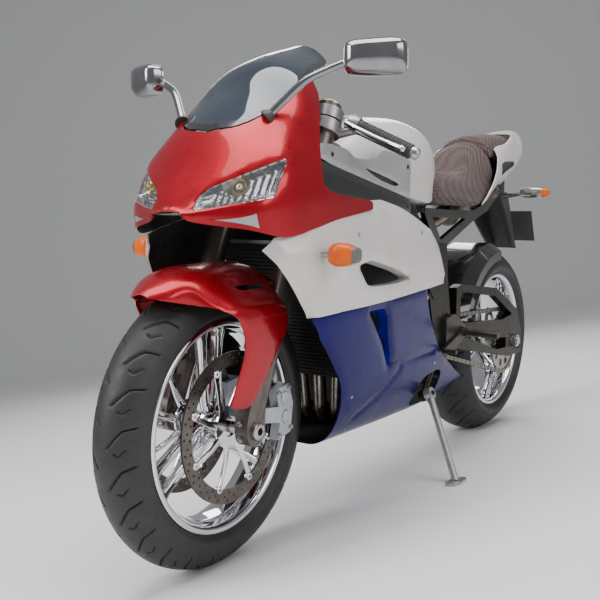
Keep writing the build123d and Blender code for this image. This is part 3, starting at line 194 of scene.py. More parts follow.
def finish(name):
    # one procedural material for each finish, its colour, roughness and relief all varied by noise
    if name in finishes:
        return finishes[name]
    spec = finishSpecs[name]
    material = bpy.data.materials.new(name)
    material.use_nodes = True
    tree = material.node_tree
    shader = tree.nodes["Principled BSDF"]
    place = addNode(tree, "TexCoord").outputs["Object"]

    def noiseOf(size, detail=3.0):
        return addNode(tree, "TexNoise", {"Scale": 1 / (size * mm), "Detail": detail},
                       {"Vector": place}).outputs["Fac"]

    def mixed(factor, first, second):
        mix = addNode(tree, "Mix", wires={"Factor": factor}, data_type="RGBA")
        for value, socket in ((first, mix.inputs[6]), (second, mix.inputs[7])):
            if isinstance(value, tuple):
                socket.default_value = (*value, 1)
            else:
                tree.links.new(value, socket)
        return mix.outputs[2]

    def spread(value, low, high):
        limits = {"From Min": 0.3, "From Max": 0.7, "To Min": low, "To Max": high}
        return addNode(tree, "MapRange", limits, {"Value": value}).outputs["Result"]

    relief = None
    if "weave" in spec:
        # a woven check: two crossing bands of yarn with a checker under them
        turned = addNode(tree, "Mapping", {"Rotation": (0.42, 0.31, 0.78)},
                         {"Vector": place}).outputs["Vector"]
        check = addNode(tree, "TexChecker", {"Scale": 1 / (spec["weave"] * mm),
                                             "Color1": (0.75, 0.75, 0.75, 1),
                                             "Color2": (0.30, 0.30, 0.30, 1)}, {"Vector": turned})
        yarns = [addNode(tree, "TexWave", {"Scale": 0.314 / (spec["weave"] * mm), "Distortion": 0.6},
                         {"Vector": turned}, bands_direction=direction).outputs["Fac"] for direction in "XY"]
        cross = addNode(tree, "Math", wires=enumerate(yarns), operation="MAXIMUM").outputs[0]
        relief = addNode(tree, "Math", wires={0: cross, 1: check.outputs["Fac"]},
                         operation="MULTIPLY").outputs[0]
        colour = mixed(spread(relief, 0, 1), spec["colour"], spec["second"])
    else:
        colour = mixed(spread(noiseOf(spec["grain"]), 0, 1), spec["colour"], spec["second"])
    # the paint's flakes as brighter specks: partly the flakes' own lighter colour, partly painted glints
    if "flake" in spec:
        flakes = addNode(tree, "TexVoronoi", {"Scale": 1 / (0.9 * mm)}, {"Vector": place})
        glint = spread(flakes.outputs["Distance"], spec["flake"], 0)
        colour = mixed(glint, colour, tuple(min(1.0, part * 1.9 + 0.02) for part in spec["second"]))
    tree.links.new(colour, shader.inputs["Base Color"])
    tree.links.new(spread(noiseOf(spec["grain"] * 0.37, 2.0), *spec["rough"]), shader.inputs["Roughness"])
    if relief is None and "fine" in spec:
        relief = noiseOf(spec["fine"], 2.0)
    if relief is not None:
        bump = addNode(tree, "Bump", {"Strength": 0.5, "Distance": spec["bump"] * mm}, {"Height": relief})
        tree.links.new(bump.outputs["Normal"], shader.inputs["Normal"])
    sockets = {"Metallic": spec.get("metal", 0.0), "Coat Weight": spec.get("coat", 0.0),
               "Coat Roughness": 0.03,
               "Alpha": spec.get("see", 1.0), "Specular IOR Level": spec.get("shine", 0.5)}
    if "sheen" in spec:
        sockets.update({"Sheen Weight": spec["sheen"], "Sheen Roughness": 0.4})
    # painted glow: the colour is also given out as faint light, with no lamp behind it
    if "glow" in spec:
        tree.links.new(colour, shader.inputs["Emission Color"])
        sockets["Emission Strength"] = spec["glow"]
    for socket, value in sockets.items():
        shader.inputs[socket].default_value = value
    finishes[name] = material
    return material


def makeRoom():
    room = {"floor": (0.80, 0.80, 0.79), "reach": 14.0, "bend": 3.5, "behind": 7.0, "top": 12.0, "half": 18.0,
            "turn": 33.8, "steps": 14, "sky": (0.93, 0.95, 1.0), "air": 0.30}
    # one seamless sheet: a floor that bends up behind the bike, square to the camera's view
    rows = [(room["reach"], 0.0), (-room["behind"], 0.0)]
    for step in range(1, room["steps"] + 1):
        angle = pi / 2 * step / room["steps"]
        rows.append((-room["behind"] - room["bend"] * sin(angle), room["bend"] * (1 - cos(angle))))
    rows.append((-room["behind"] - room["bend"], room["top"]))
    turn = radians(room["turn"])
    mesh = bpy.data.meshes.new("studioFloor")
    points, faces = [], []
    for along, height in rows:
        for side in (-room["half"], room["half"]):
            points.append((along * cos(turn) - side * sin(turn), along * sin(turn) + side * cos(turn),
                           height))
    for row in range(len(rows) - 1):
        faces.append((2 * row, 2 * row + 1, 2 * row + 3, 2 * row + 2))
    mesh.from_pydata(points, [], faces)
    for polygon in mesh.polygons:
        polygon.use_smooth = True
    floor = bpy.data.objects.new("studioFloor", mesh)
    bpy.context.scene.collection.objects.link(floor)
    paper = bpy.data.materials.new("studioPaper")
    paper.use_nodes = True
    tree = paper.node_tree
    shader = tree.nodes["Principled BSDF"]
    speckle = addNode(tree, "TexNoise", {"Scale": 2.0}).outputs["Fac"]
    rough = addNode(tree, "MapRange", {"To Min": 0.76, "To Max": 0.88}, {"Value": speckle})
    tree.links.new(rough.outputs["Result"], shader.inputs["Roughness"])
    shader.inputs["Base Color"].default_value = (*room["floor"], 1)
    floor.data.materials.append(paper)

    world = bpy.context.scene.world or bpy.data.worlds.new("studioAir")
    bpy.context.scene.world = world
    world.use_nodes = True
    sky = world.node_tree.nodes["Background"].inputs
    sky["Color"].default_value, sky["Strength"].default_value = (*room["sky"], 1), room["air"]

    # softboxes: where each one hangs, what it faces, its size in metres and its power
    boxes = {
        "topLight": ((0.6, 0.6, 3.6), (0, 0, 0.5), (3.4, 2.4), 150),
        "keyLight": ((3.4, -1.6, 2.6), (0.4, 0, 0.6), (1.6, 2.4), 110),
        "sideLight": ((0.9, 3.9, 1.9), (0, 0.2, 0.6), (2.8, 1.5), 55),
        "backLight": ((-3.2, -2.0, 2.6), (0, 0, 0.7), (2.2, 1.6), 60),
    }
    for name, (spot, target, size, power) in boxes.items():
        light = bpy.data.lights.new(name, "AREA")
        light.shape = "RECTANGLE"
        light.size, light.size_y = size
        light.energy = power
        lamp = bpy.data.objects.new(name, light)
        lamp.location = spot
        lamp.rotation_euler = (Vector(target) - Vector(spot)).to_track_quat("-Z", "Y").to_euler()
        bpy.context.scene.collection.objects.link(lamp)


makeRoom()
print("camera, lights and floor made")


# every piece of the frame gets its finish
def finishFrame():
    for name, node in frame["nodes"].items():
        node.data.materials.clear()
        node.data.materials.append(finish(slotOf[name]))


finishFrame()
print("finishes made")


joinWidth = 0.05  # points this near to the middle of the bike lie on it


class Shape:
    # points and faces in millimetres of the upright bike; marks say which finish a face takes
    def __init__(self, mark=0):
        self.points, self.faces, self.marks = [], [], []
        self.mark = mark

    def add(self, points, faces):
        start = len(self.points)
        self.points += [Vector(point) for point in points]
        self.faces += [[start + index for index in face] for face in faces]
        self.marks += [self.mark] * len(faces)
        return self

    def loft(self, rings, closed=True, capped=True):
        count = len(rings[0])
        faces = []
        for ring in range(len(rings) - 1):
            for index in range(count if closed else count - 1):
                first, second = ring * count + index, ring * count + (index + 1) % count
                faces.append((first, second, second + count, first + count))
        if capped:
            faces.append(tuple(range(count))[::-1])
            faces.append(tuple(range((len(rings) - 1) * count, len(rings) * count)))
        return self.add([point for ring in rings for point in ring], faces)

    def tube(self, path, radius, sides=16, capped=True):
        path = [Vector(point) for point in path]
        radii = radius if isinstance(radius, (list, tuple)) else [radius] * len(path)
        across = (path[1] - path[0]).orthogonal().normalized()
        rings = []
        for index, point in enumerate(path):
            run = (path[min(index + 1, len(path) - 1)] - path[max(index - 1, 0)]).normalized()
            across = (across - run * across.dot(run)).normalized()
            other = run.cross(across)
            rings.append([point + (across * cos(2 * pi * side / sides) + other * sin(2 * pi * side / sides))
                          * radii[index] for side in range(sides)])
        return self.loft(rings, capped=capped)

    def lathe(self, profile, centre, axis=(0, 1, 0), steps=96, looped=True):
        # profile: (place along the axis, radius), a closed loop unless told otherwise
        axis, centre = Vector(axis).normalized(), Vector(centre)
        first = Vector((1, 0, 0)) if abs(axis.x) < 0.9 else Vector((0, 0, 1))
        first = (first - axis * first.dot(axis)).normalized()
        second = axis.cross(first)
        count, points, faces = len(profile), [], []
        for step in range(steps):
            out = first * cos(2 * pi * step / steps) + second * sin(2 * pi * step / steps)
            points += [centre + axis * along + out * radius for along, radius in profile]
            after = (step + 1) % steps
            for index in range(count if looped else count - 1):
                near, far = index, (index + 1) % count
                faces.append((step * count + near, after * count + near, after * count + far,
                              step * count + far))
        return self.add(points, faces)

    def shell(self, points, triangles, wall, inside, lining=None):
        # a thick sheet: the given surface, the same moved towards the inside point, and its edge walls
        points = [Vector(point) for point in points]
        normals = [Vector() for point in points]
        for one, two, three in triangles:
            normal = (points[two] - points[one]).cross(points[three] - points[one])
            for index in (one, two, three):
                normals[index] += normal
        outward = sum(normals[index].dot(points[index] - Vector(inside)) for index in range(len(points)))
        sign = -1 if outward > 0 else 1
        inner = [point + normal.normalized() * wall * sign for point, normal in zip(points, normals)]
        # the two halves join along the middle, with no wall there
        middle = {index for index, point in enumerate(points) if abs(point.y) < joinWidth}
        for index in middle:
            inner[index].y = 0.0
        used = {}
        for triangle in triangles:
            for corner in range(3):
                edge = (triangle[corner], triangle[(corner + 1) % 3])
                used[tuple(sorted(edge))] = None if tuple(sorted(edge)) in used else edge
        count = len(points)
        faces = [tuple(triangle) for triangle in triangles]
        faces += [tuple(index + count for index in reversed(triangle)) for triangle in triangles]
        borders = [edge for edge in used.values() if edge and not set(edge) <= middle]
        faces += [(two, one, one + count, two + count) for one, two in borders]
        self.add(points + inner, faces)
        if lining is not None:
            start = len(self.marks) - len(faces) + len(triangles)
            self.marks[start:start + len(triangles)] = [lining] * len(triangles)
        return self

    def slab(self, outline, low, high, holes=(), spacing=1000.0):
        # a plate in side view, from one y to another
        flat, triangles = cutSheet(outline, holes, spacing)
        front = [(x, high, z) for x, z in flat]
        return self.shell(front, triangles, abs(high - low), (front[0][0], low * 2 - high, front[0][2]))

    def sided(self, sign):
        # a copy for the left side, or mirrored for the right
        copy = Shape()
        copy.points = [Vector((point.x, point.y * sign, point.z)) for point in self.points]
        copy.faces, copy.marks = [list(face) for face in self.faces], list(self.marks)
        return copy

    def both(self):
        # the same again on the right-hand side
        count = len(self.points)
        self.points += [Vector((point.x, -point.y, point.z)) for point in self.points]
        self.faces += [[index + count for index in reversed(face)] for face in self.faces]
        self.marks += list(self.marks)
        return self


def makePiece(name, shape, finishNames, body, replaced=(), sharp=38, bevel=0.0):
    mesh = bpy.data.meshes.new(name)
    mesh.from_pydata([leaning @ (point * mm) for point in shape.points], [], shape.faces)
    mesh.polygons.foreach_set("material_index", shape.marks)
    work = bmesh.new()
    work.from_mesh(mesh)
    bmesh.ops.remove_doubles(work, verts=work.verts, dist=0.00003)
    bmesh.ops.recalc_face_normals(work, faces=work.faces)
    for face in work.faces:
        face.smooth = True
    for edge in work.edges:
        if len(edge.link_faces) == 2 and edge.calc_face_angle(0) > radians(sharp):
            edge.smooth = False
    work.to_mesh(mesh)
    work.free()
    for finishName in finishNames:
        mesh.materials.append(finish(finishName))
    piece = bpy.data.objects.new(name, mesh)
    bpy.context.scene.collection.objects.link(piece)
    if bevel:
        rounding = piece.modifiers.new("edges", "BEVEL")
        rounding.width, rounding.segments = bevel * mm, 2
        rounding.limit_method, rounding.angle_limit = "ANGLE", radians(sharp)
        rounding.harden_normals = True
    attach(piece, body)
    if replaced:
        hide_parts(*replaced)
    return piece


def softened(points, rounds=2, share=0.25, closed=False):
    # corner cutting: every corner is replaced by two points nearer to its neighbours
    points = [Vector(point) for point in points]
    for turn in range(rounds):
        cut = [] if closed else [points[0]]
        pairs = zip(points, points[1:] + points[:1]) if closed else zip(points, points[1:])
        for first, second in pairs:
            cut += [first.lerp(second, share), first.lerp(second, 1 - share)]
        points = cut if closed else cut + [points[-1]]
    return points


def curved(points, rounds=2, share=0.25, closed=False):
    return [tuple(point) for point in softened(points, rounds, share, closed)]


def bulged(value, power):
    # a value from -1 to 1 drawn towards its ends, which squares a circle off
    return copysign(abs(value) ** power, value)


def roundedRing(halfWide, halfHigh, power=0.42, count=40):
    angles = [2 * pi * k / count for k in range(count)]
    return [(halfWide * bulged(cos(angle), power), halfHigh * bulged(sin(angle), power)) for angle in angles]


def spoke(angle):
    # the directions out along a wheel's spoke and across it
    return Vector((cos(angle), 0, sin(angle))), Vector((-sin(angle), 0, cos(angle)))


def section(skin, x, shares, rise):
    # a closed section of a body: its skin, carried round underneath at the given rise
    half = [skin.at(x, skin.scale * k / 22) for k in range(23)]
    base = [Vector((x, half[0].y * share, half[0].z + rise)) for share in shares]
    left = base[1:] + half[:-1]
    return [base[0], *left, half[-1]] + [Vector((x, -point.y, point.z)) for point in reversed(left)]


def circle(u, v, radius, count):
    angles = [2 * pi * k / count for k in range(count)]
    return [(u + radius * cos(angle), v + radius * sin(angle)) for angle in angles]


def through(before, start, end, after, s):
    # a smooth curve from start to end, which comes from before and goes on to after
    return (start * 2 + (end - before) * s + (before * 2 - start * 5 + end * 4 - after) * s * s
            + (start * 3 - before - end * 3 + after) * s ** 3) / 2


def smoothPath(points, steps=6):
    # a smooth line through all the points
    points = [Vector(point) for point in points]
    ends = [points[0] * 2 - points[1], *points, points[-1] * 2 - points[-2]]
    line = []
    for index in range(1, len(ends) - 2):
        line += [through(*ends[index - 1:index + 3], step / steps) for step in range(steps)]
    return line + [points[-1]]


def insideOf(outline, u, v):
    inside = False
    for (u1, v1), (u2, v2) in zip(outline, outline[1:] + outline[:1]):
        if (v1 > v) != (v2 > v) and u < (u2 - u1) * (v - v1) / (v2 - v1) + u1:
            inside = not inside
    return inside


def nearness(line, u, v, closed=False):
    # distance from a place to a line of points
    best = 1e9
    for (u1, v1), (u2, v2) in zip(line, line[1:] + (line[:1] if closed else [])):
        run = (u2 - u1) ** 2 + (v2 - v1) ** 2
        share = min(1, max(0, ((u - u1) * (u2 - u1) + (v - v1) * (v2 - v1)) / run)) if run else 0
        best = min(best, hypot(u - u1 - share * (u2 - u1), v - v1 - share * (v2 - v1)))
    return best


def smaller(outline, share):
    # the same outline drawn in towards its middle
    centre = sum((Vector(point) for point in outline), Vector((0, 0))) / len(outline)
    return [tuple(centre.lerp(Vector(point), share)) for point in outline]


def pressed(flat, points, line, width, depth, power=2, closed=False, side=1):
    # moves a sheet in beside a line, deepest on the line: across the bike, or with side 0 along it
    for index, (u, v) in enumerate(flat):
        near = nearness(line, u, v, closed)
        if near < width:
            points[index][side] -= depth * (1 - near / width) ** power


def joined(points, limit=joinWidth):
    # what reaches the middle of the bike, or past it, lies on it
    for point in points:
        point.y = 0.0 if point.y < limit else point.y


def middleOf(flat, triangle):
    return [sum(flat[index][side] for index in triangle) / 3 for side in (0, 1)]


def filled(points, edges, keeps):
    # triangles between the given points and edges, where keeps says that there is sheet
    found = delaunay_2d_cdt([Vector(point) for point in points], edges, [], 1, 1e-5)
    flat = [(point.x, point.y) for point in found[0]]
    return flat, [tuple(triangle) for triangle in found[2] if keeps(*middleOf(flat, triangle))]


def resampled(outline, spacing):
    line = []
    for (u1, v1), (u2, v2) in zip(outline, outline[1:] + outline[:1]):
        parts = max(1, ceil(hypot(u2 - u1, v2 - v1) / spacing))
        line += [(u1 + (u2 - u1) * part / parts, v1 + (v2 - v1) * part / parts) for part in range(parts)]
    return line


def cutSheet(outline, holes=(), spacing=10.0, inlays=()):
    # triangles that fill a flat outline with holes, with an even spread of points inside
    # inlays are loops that only have edges along them

    def isSheet(u, v):
        return insideOf(outline, u, v) and not any(insideOf(hole, u, v) for hole in holes)

    loops = [resampled(loop, spacing) for loop in [outline, *holes, *inlays]]
    points, edges = [], []
    for loop in loops:
        start = len(points)
        points += loop
        edges += [(start + index, start + (index + 1) % len(loop)) for index in range(len(loop))]
    lowU, highU = min(u for u, v in outline), max(u for u, v in outline)
    lowV, highV = min(v for u, v in outline), max(v for u, v in outline)
    row = 0
    v = lowV + spacing / 2
    while v < highV:
        u = lowU + spacing * (0.25 + 0.5 * (row % 2))
        while u < highU:
            if isSheet(u, v) and min(nearness(loop, u, v, True)
                                     for loop in [outline, *holes, *inlays]) > spacing * 0.45:
                points.append((u, v))
            u += spacing
        v += spacing * 0.87
        row += 1
    return filled(points, edges, isSheet)


class Skin:
    # bodywork surface: cross-sections at stations of x, each a half outline of (y, z) from its foot up
    def __init__(self, rows, rounds=2, share=0.25, centred=True, scale=330.0):
        self.scale = scale
        self.rows = []
        for x, half in sorted(rows, key=lambda row: row[0]):
            if centred:
                whole = list(half) + [(-y, z) for y, z in reversed(half[:-1])]
                whole = softened(whole, rounds, share)
                half = whole[:len(whole) // 2]
                half.append(Vector((0, (whole[len(whole) // 2 - 1].y + whole[len(whole) // 2].y) / 2)))
            else:
                half = softened(half, rounds, share)
            self.rows.append((float(x), half))
        self.count = len(self.rows[0][1]) - 1

    def column(self, x, index):
        # one point of every section, carried smoothly from station to station
        rows = self.rows
        x = min(max(x, rows[0][0]), rows[-1][0])
        spot = max(place for place in range(len(rows) - 1) if rows[place][0] <= x)
        start, end = rows[spot], rows[spot + 1]
        before, after = rows[max(spot - 1, 0)], rows[min(spot + 2, len(rows) - 1)]
        width = end[0] - start[0]
        s = (x - start[0]) / width
        leave = (end[1][index] - before[1][index]) / (end[0] - before[0]) * width
        arrive = (after[1][index] - start[1][index]) / (after[0] - start[0]) * width
        return (start[1][index] * (2 * s ** 3 - 3 * s * s + 1) + leave * (s ** 3 - 2 * s * s + s)
                + end[1][index] * (3 * s * s - 2 * s ** 3) + arrive * (s ** 3 - s * s))

    def at(self, x, v):
        place = min(max(v / self.scale, 0), 1) * self.count
        low = min(int(place), self.count - 1)
        s = place - low
        one, two = self.column(x, low), self.column(x, low + 1)
        before = self.column(x, low - 1) if low else one * 2 - two
        after = self.column(x, low + 2) if low + 2 <= self.count else two * 2 - one
        spot = through(before, one, two, after, s)
        return Vector((x, spot.x, spot.y))

    def climb(self, x, z):
        # how far up its section the surface reaches the height z
        low, high = 0, self.count
        if self.column(x, 0).y >= z:
            return 0.0
        if self.column(x, high).y <= z:
            return self.scale
        while high - low > 1:
            middle = (low + high) // 2
            if self.column(x, middle).y < z:
                low = middle
            else:
                high = middle
        first, second = self.column(x, low).y, self.column(x, high).y
        return (low + (z - first) / max(second - first, 1e-6)) / self.count * self.scale

    def sheet(self, outline, holes=(), spacing=9.0, inlays=()):
        flat, triangles = cutSheet(outline, holes, spacing, inlays)
        return flat, triangles, [self.at(u, v) for u, v in flat]

    def fromSide(self, points):
        return [(x, self.climb(x, z)) for x, z in points]

    def fromFront(self, y, z, low, high):
        # the place where the surface is as wide as y at the height z
        for turn in range(24):
            middle = (low + high) / 2
            if self.at(middle, self.climb(middle, z)).y > y:
                low = middle
            else:
                high = middle
        return (low, self.climb(low, z))


print("shape tools ready")

# the nose panel, the screen and the lamps in it
nose = {
    "rows": [
        (827, [(36, 728), (40, 731), (37, 735), (29, 738), (15, 740), (0, 741)]),
        (818, [(50, 719), (58, 730), (54, 736), (44, 741), (25, 745), (0, 746)]),
        (762, [(147, 704), (152, 750), (132, 778), (100, 802), (55, 822), (0, 828)]),
        (700, [(189, 690), (190, 790), (168, 838), (130, 872), (84, 900), (0, 908)]),
        (610, [(202, 706), (204, 800), (184, 860), (150, 925), (112, 968), (0, 1000)]),
        (540, [(207, 722), (208, 800), (188, 875), (146, 975), (92, 1042), (0, 1066)]),
        (374, [(207, 745), (207, 790), (175, 890), (140, 990), (106, 1064), (0, 1136)]),
    ],
    "rear": [(386, 752), (388, 764), (480, 770), (556, 776), (584, 790), (588, 812), (580, 850), (562, 897),
             (534, 940), (508, 985)],
    "screenFoot": (714, 895), "screenSlope": 0.6,
    "screenRear": [(470, 1042), (430, 1055), (392, 1068), (378, 1092), (376, 1124)],
    "lamp": [(51, 739), (84, 744), (117, 751), (160, 759), (177, 764), (179, 768), (181, 788), (181, 806),
             (179, 831), (174, 842), (167, 835), (154, 826), (133, 815), (93, 795), (67, 782), (51, 763)],
    "patch": [(803, 49), (752, 62), (745, 20)],  # skin places of the grey insert under each lamp
    "wall": 3.6, "gap": 0.8, "spacing": 9.0, "turnWidth": 9.0, "turnDepth": 2.2, "patchDepth": 2.5,
    "inside": (600, 0, 780), "screenWall": 3.0, "screenBorder": 15.0,
}
noseSkin = Skin(nose["rows"])


def screenLine(x, above=0.0):
    return (x, nose["screenFoot"][1] + (nose["screenFoot"][0] - x) * nose["screenSlope"] + above)


def makeNose():
    lowEdge = [(x, 0) for x in (827, 790, 750, 700, 640, 560, 480, 400)]
    rear = noseSkin.fromSide([(386, 745), *curved(nose["rear"])])
    footPlaces = [*range(500, 690, 12), 692, 699, 705, 709, 712, 714]
    screenFoot = noseSkin.fromSide([screenLine(x, -nose["gap"]) for x in footPlaces])
    front = [(x, noseSkin.scale) for x in [*range(720, 828, 12), 827]]
    hole = [noseSkin.fromFront(y, z, 640, 827) for y, z in curved(nose["lamp"], 1, 0.16, closed=True)]
    insert, insertFloor = nose["patch"], smaller(nose["patch"], 0.88)
    outline = lowEdge + rear + screenFoot + front
    flat, triangles, points = noseSkin.sheet(outline, [hole], nose["spacing"], [insert, insertFloor])
    # the skin turns in round the lamps
    pressed(flat, points, hole, nose["turnWidth"], nose["turnDepth"], closed=True, side=0)
    joined(points, 0.6)
    for index, (u, v) in enumerate(flat):
        if insideOf(insertFloor, u, v) or nearness(insertFloor, u, v, True) < 0.5:
            points[index].x -= nose["patchDepth"]
    shape = Shape().shell(points, triangles, nose["wall"], nose["inside"], lining=1)
    for place, triangle in enumerate(triangles):
        shape.marks[place] = 2 * insideOf(insertFloor, *middleOf(flat, triangle))
    shape.both()
    makePiece("nosePanel", shape, ["red_paint", "dark_plastic", "silver_paint"], "chassis", ["upper_fairing"],
              sharp=30)
    return hole


def makeScreen():
    foot = [screenLine(x, nose["gap"]) for x in [712, 710, 707, 703, 697, 690, *range(680, 470, -12)]]
    border = [(713, noseSkin.scale)] + noseSkin.fromSide(foot + curved(nose["screenRear"]))
    flat, triangles, points = noseSkin.sheet(border + [(376, noseSkin.scale)], [], nose["spacing"])
    joined(points)
    shape = Shape().shell(points, triangles, nose["screenWall"], nose["inside"]).both()
    # a black border, and the walls in black too
    edged = [nearness(border, u, v) < nose["screenBorder"] for u, v in flat]
    marks = [int(all(edged[index] for index in triangle)) for triangle in triangles]
    walls = len(shape.faces) // 2 - 2 * len(triangles)
    shape.marks = 2 * (marks + marks + [1] * walls)
    makePiece("windScreen", shape, ["smoked_screen", "black_plastic"], "chassis", ["windscreen"], sharp=30)


lampSpec = {"depth": 30.0, "rim": 13.0, "flute": 12.0, "ridge": 3.4, "bulb": (112, 785), "ring": 13.0}


def makeLamps(hole):
    # a clear cover flush with the nose, and behind it a fluted bowl with the bulb's ring
    centreU = sum(u for u, v in hole) / len(hole)
    centreV = sum(v for u, v in hole) / len(hole)
    cover = [(centreU + (u - centreU) * 0.985, centreV + (v - centreV) * 0.985) for u, v in hole]
    flat, triangles = cutSheet(cover, [], 8.0)
    points = [noseSkin.at(u, v) - Vector((1.2, 0, 0)) for u, v in flat]
    shape = Shape().shell(points, triangles, 2.4, nose["inside"]).both()
    makePiece("lampCovers", shape, ["lamp_glass"], "chassis", ["headlights"], sharp=30)
    flat, triangles = cutSheet(cover, [], 3.0)
    points = []
    for u, v in flat:
        near = min(1.0, nearness(cover, u, v, True) / lampSpec["rim"])
        spot = noseSkin.at(u, v)
        depth = 3.5 + lampSpec["depth"] * (3 * near ** 2 - 2 * near ** 3)
        flute = lampSpec["ridge"] * near * abs(sin(pi * spot.y / lampSpec["flute"])) * 2
        spot.x -= depth - flute
        spot.y -= 3.0 * near
        points.append(spot)
    bowl = Shape().shell(points, triangles, 2.0, (500, 0, 780))
    # painted shade: dark bars in the valleys between the flutes of the chrome bowl
    for place, triangle in enumerate(triangles):
        y = sum(points[index].y for index in triangle) / 3
        bowl.marks[place] = 3 if abs(sin(pi * y / lampSpec["flute"])) < 0.42 and y > 72 else 0
    spot = noseSkin.at(*noseSkin.fromFront(*lampSpec["bulb"], 640, 827)) + Vector((-28, -2, 0))
    axis = Vector((0.86, 0.5, 0.05))
    ring = lampSpec["ring"]
    bowl.mark = 1
    bowl.lathe([(0, ring - 3), (14, ring), (16, ring + 1.6), (14, ring + 3.2), (0, ring + 2)], spot, axis, 40)
    bowl.mark = 2
    bowl.lathe([(2, 0.01), (2, ring - 3), (6, ring - 3), (13, 5), (14, 0.01)], spot, axis, 32, looped=False)
    bowl.both()
    makePiece("lampBowls", bowl, ["lampChrome", "lampGold", "mirrorGlass", "black_plastic"], "chassis",
              sharp=50)


lampHole = makeNose()
makeScreen()
makeLamps(lampHole)
print("nose, screen and lamps made")

# side fairings above the split line, lower fairings under it
sides = {
    "rows": [
        (800, [(0, 195), (60, 195), (106, 290), (142, 400), (166, 530), (142, 640), (130, 790)]),
        (620, [(0, 195), (75, 195), (140, 290), (178, 400), (207, 530), (216, 640), (206, 790)]),
        (440, [(0, 193), (88, 193), (158, 290), (190, 400), (217, 530), (226, 640), (210, 790)]),
        (250, [(0, 191), (94, 191), (160, 290), (186, 400), (208, 530), (220, 640), (198, 790)]),
        (60, [(0, 190), (98, 190), (156, 290), (176, 400), (192, 530), (200, 640), (176, 790)]),
        (-140, [(0, 192), (98, 192), (146, 290), (158, 400), (170, 530), (174, 640), (160, 790)]),
        (-400, [(0, 215), (92, 215), (112, 290), (120, 400), (130, 530), (140, 640), (140, 790)]),
    ],
    "whiteTop": [(722, 664), (706, 688.5), (650, 699.6), (500, 729.6), (385, 747.6), (383, 764), (330, 766),
                 (220, 749), (125, 726), (20, 694), (-36, 651), (-100, 568), (-78, 550)],
    "split": [(94, 543), (306, 535), (500, 530), (622, 524)],
    "whiteFront": [(650, 559), (682, 606)],
    "blueRear": [(-400, 240), (-369, 240), (-150, 328), (-93, 357), (-28, 411), (45, 487), (72, 542)],
    "blueFront": [(600, 500), (578, 472), (505, 404), (460, 358), (436, 303), (414, 249), (402, 200)],
    "vent": [(470, 624), (415, 635), (268, 604), (190, 580), (265, 573), (423, 574)],
    "slot": [(404, 519), (322, 519), (300, 498), (278, 450), (240, 392), (236, 372), (252, 372), (298, 428),
             (356, 478)],
    "ventDuct": {"sunk": 3.0, "rings": [(0.90, (6, 26, 3)), (0.94, (6, 27, 3))], "rim": 1.5, "wider": 2.0},
    "slotDuct": {"sunk": 5.0, "rings": [(0.82, (4, 24, 0)), (0.86, (4, 26, 0))], "rim": 2.0, "wider": 0.0},
    "crease": [(560, 655), (520, 560), (515, 532)],
    "lowCrease": [(610, 520), (560, 452), (500, 400), (450, 330)],
    "ledge": [(236, 378), (171, 369), (60, 366), (-51, 364)],
    "keel": [(172, 352), (250, 300), (340, 256)],
    "standNotch": [(-138, 214), (-138, 310), (18, 299), (18, 214)],
    # how wide and how deep the panels are pressed in along each line
    "pressWidths": {"band": (26, 13.0), "roll": (30, 13.0), "vent": (12, 3.0), "crease": (26, 2.4),
                    "split": (9, 2.5), "lowCrease": (20, 3.0), "ledge": (15, 6.0), "keel": (17, 5.0),
                    "slot": (16, 4.5)},
    "wall": 3.6, "spacing": 9.0,
}
sideSkin = Skin(sides["rows"], 3, 0.25, centred=False, scale=620.0)


def addDuct(shape, loop, spec):
    # a short duct behind an opening: its lip, the loop smaller and further in, and a rim behind the panel
    lip = [sideSkin.at(u, v) - Vector((0, spec["sunk"], 0)) for u, v in resampled(loop, 14)]
    centre = sum(lip, Vector()) / len(lip)
    rings = [[centre.lerp(point, share) - Vector(move) for point in lip] for share, move in spec["rings"]]
    back = Vector((0, spec["rim"], 0))
    rim = [point - back + (point - centre).normalized() * spec["wider"] for point in lip]
    shape.loft([lip, *rings, rim], capped=False)


def makeSideFairings():
    top = sideSkin.fromSide(sides["whiteTop"])
    outline = top + sideSkin.fromSide([(x, z + 0.6) for x, z in sides["split"] + sides["whiteFront"]])
    vent = sideSkin.fromSide(curved(sides["vent"], 2, 0.14, closed=True))
    flat, triangles, points = sideSkin.sheet(outline, [vent], sides["spacing"])
    front = sideSkin.fromSide([sides["whiteTop"][0], *reversed(sides["whiteFront"]), sides["split"][-1]])
    pressed(flat, points, top, *sides["pressWidths"]["band"], power=1)
    pressed(flat, points, front, *sides["pressWidths"]["roll"])
    pressed(flat, points, vent, *sides["pressWidths"]["vent"], closed=True)
    for key in ("crease", "split"):
        pressed(flat, points, sideSkin.fromSide(sides[key]), *sides["pressWidths"][key])
    side = Shape().shell(points, triangles, sides["wall"], (300, 0, 600), lining=1)
    addDuct(side, vent, sides["ventDuct"])
    for label, sign in (("left", 1), ("right", -1)):
        makePiece("sideFairing." + label, side.sided(sign), ["white_paint", "dark_plastic"], "chassis",
                  ["side_fairing_" + label], sharp=24)


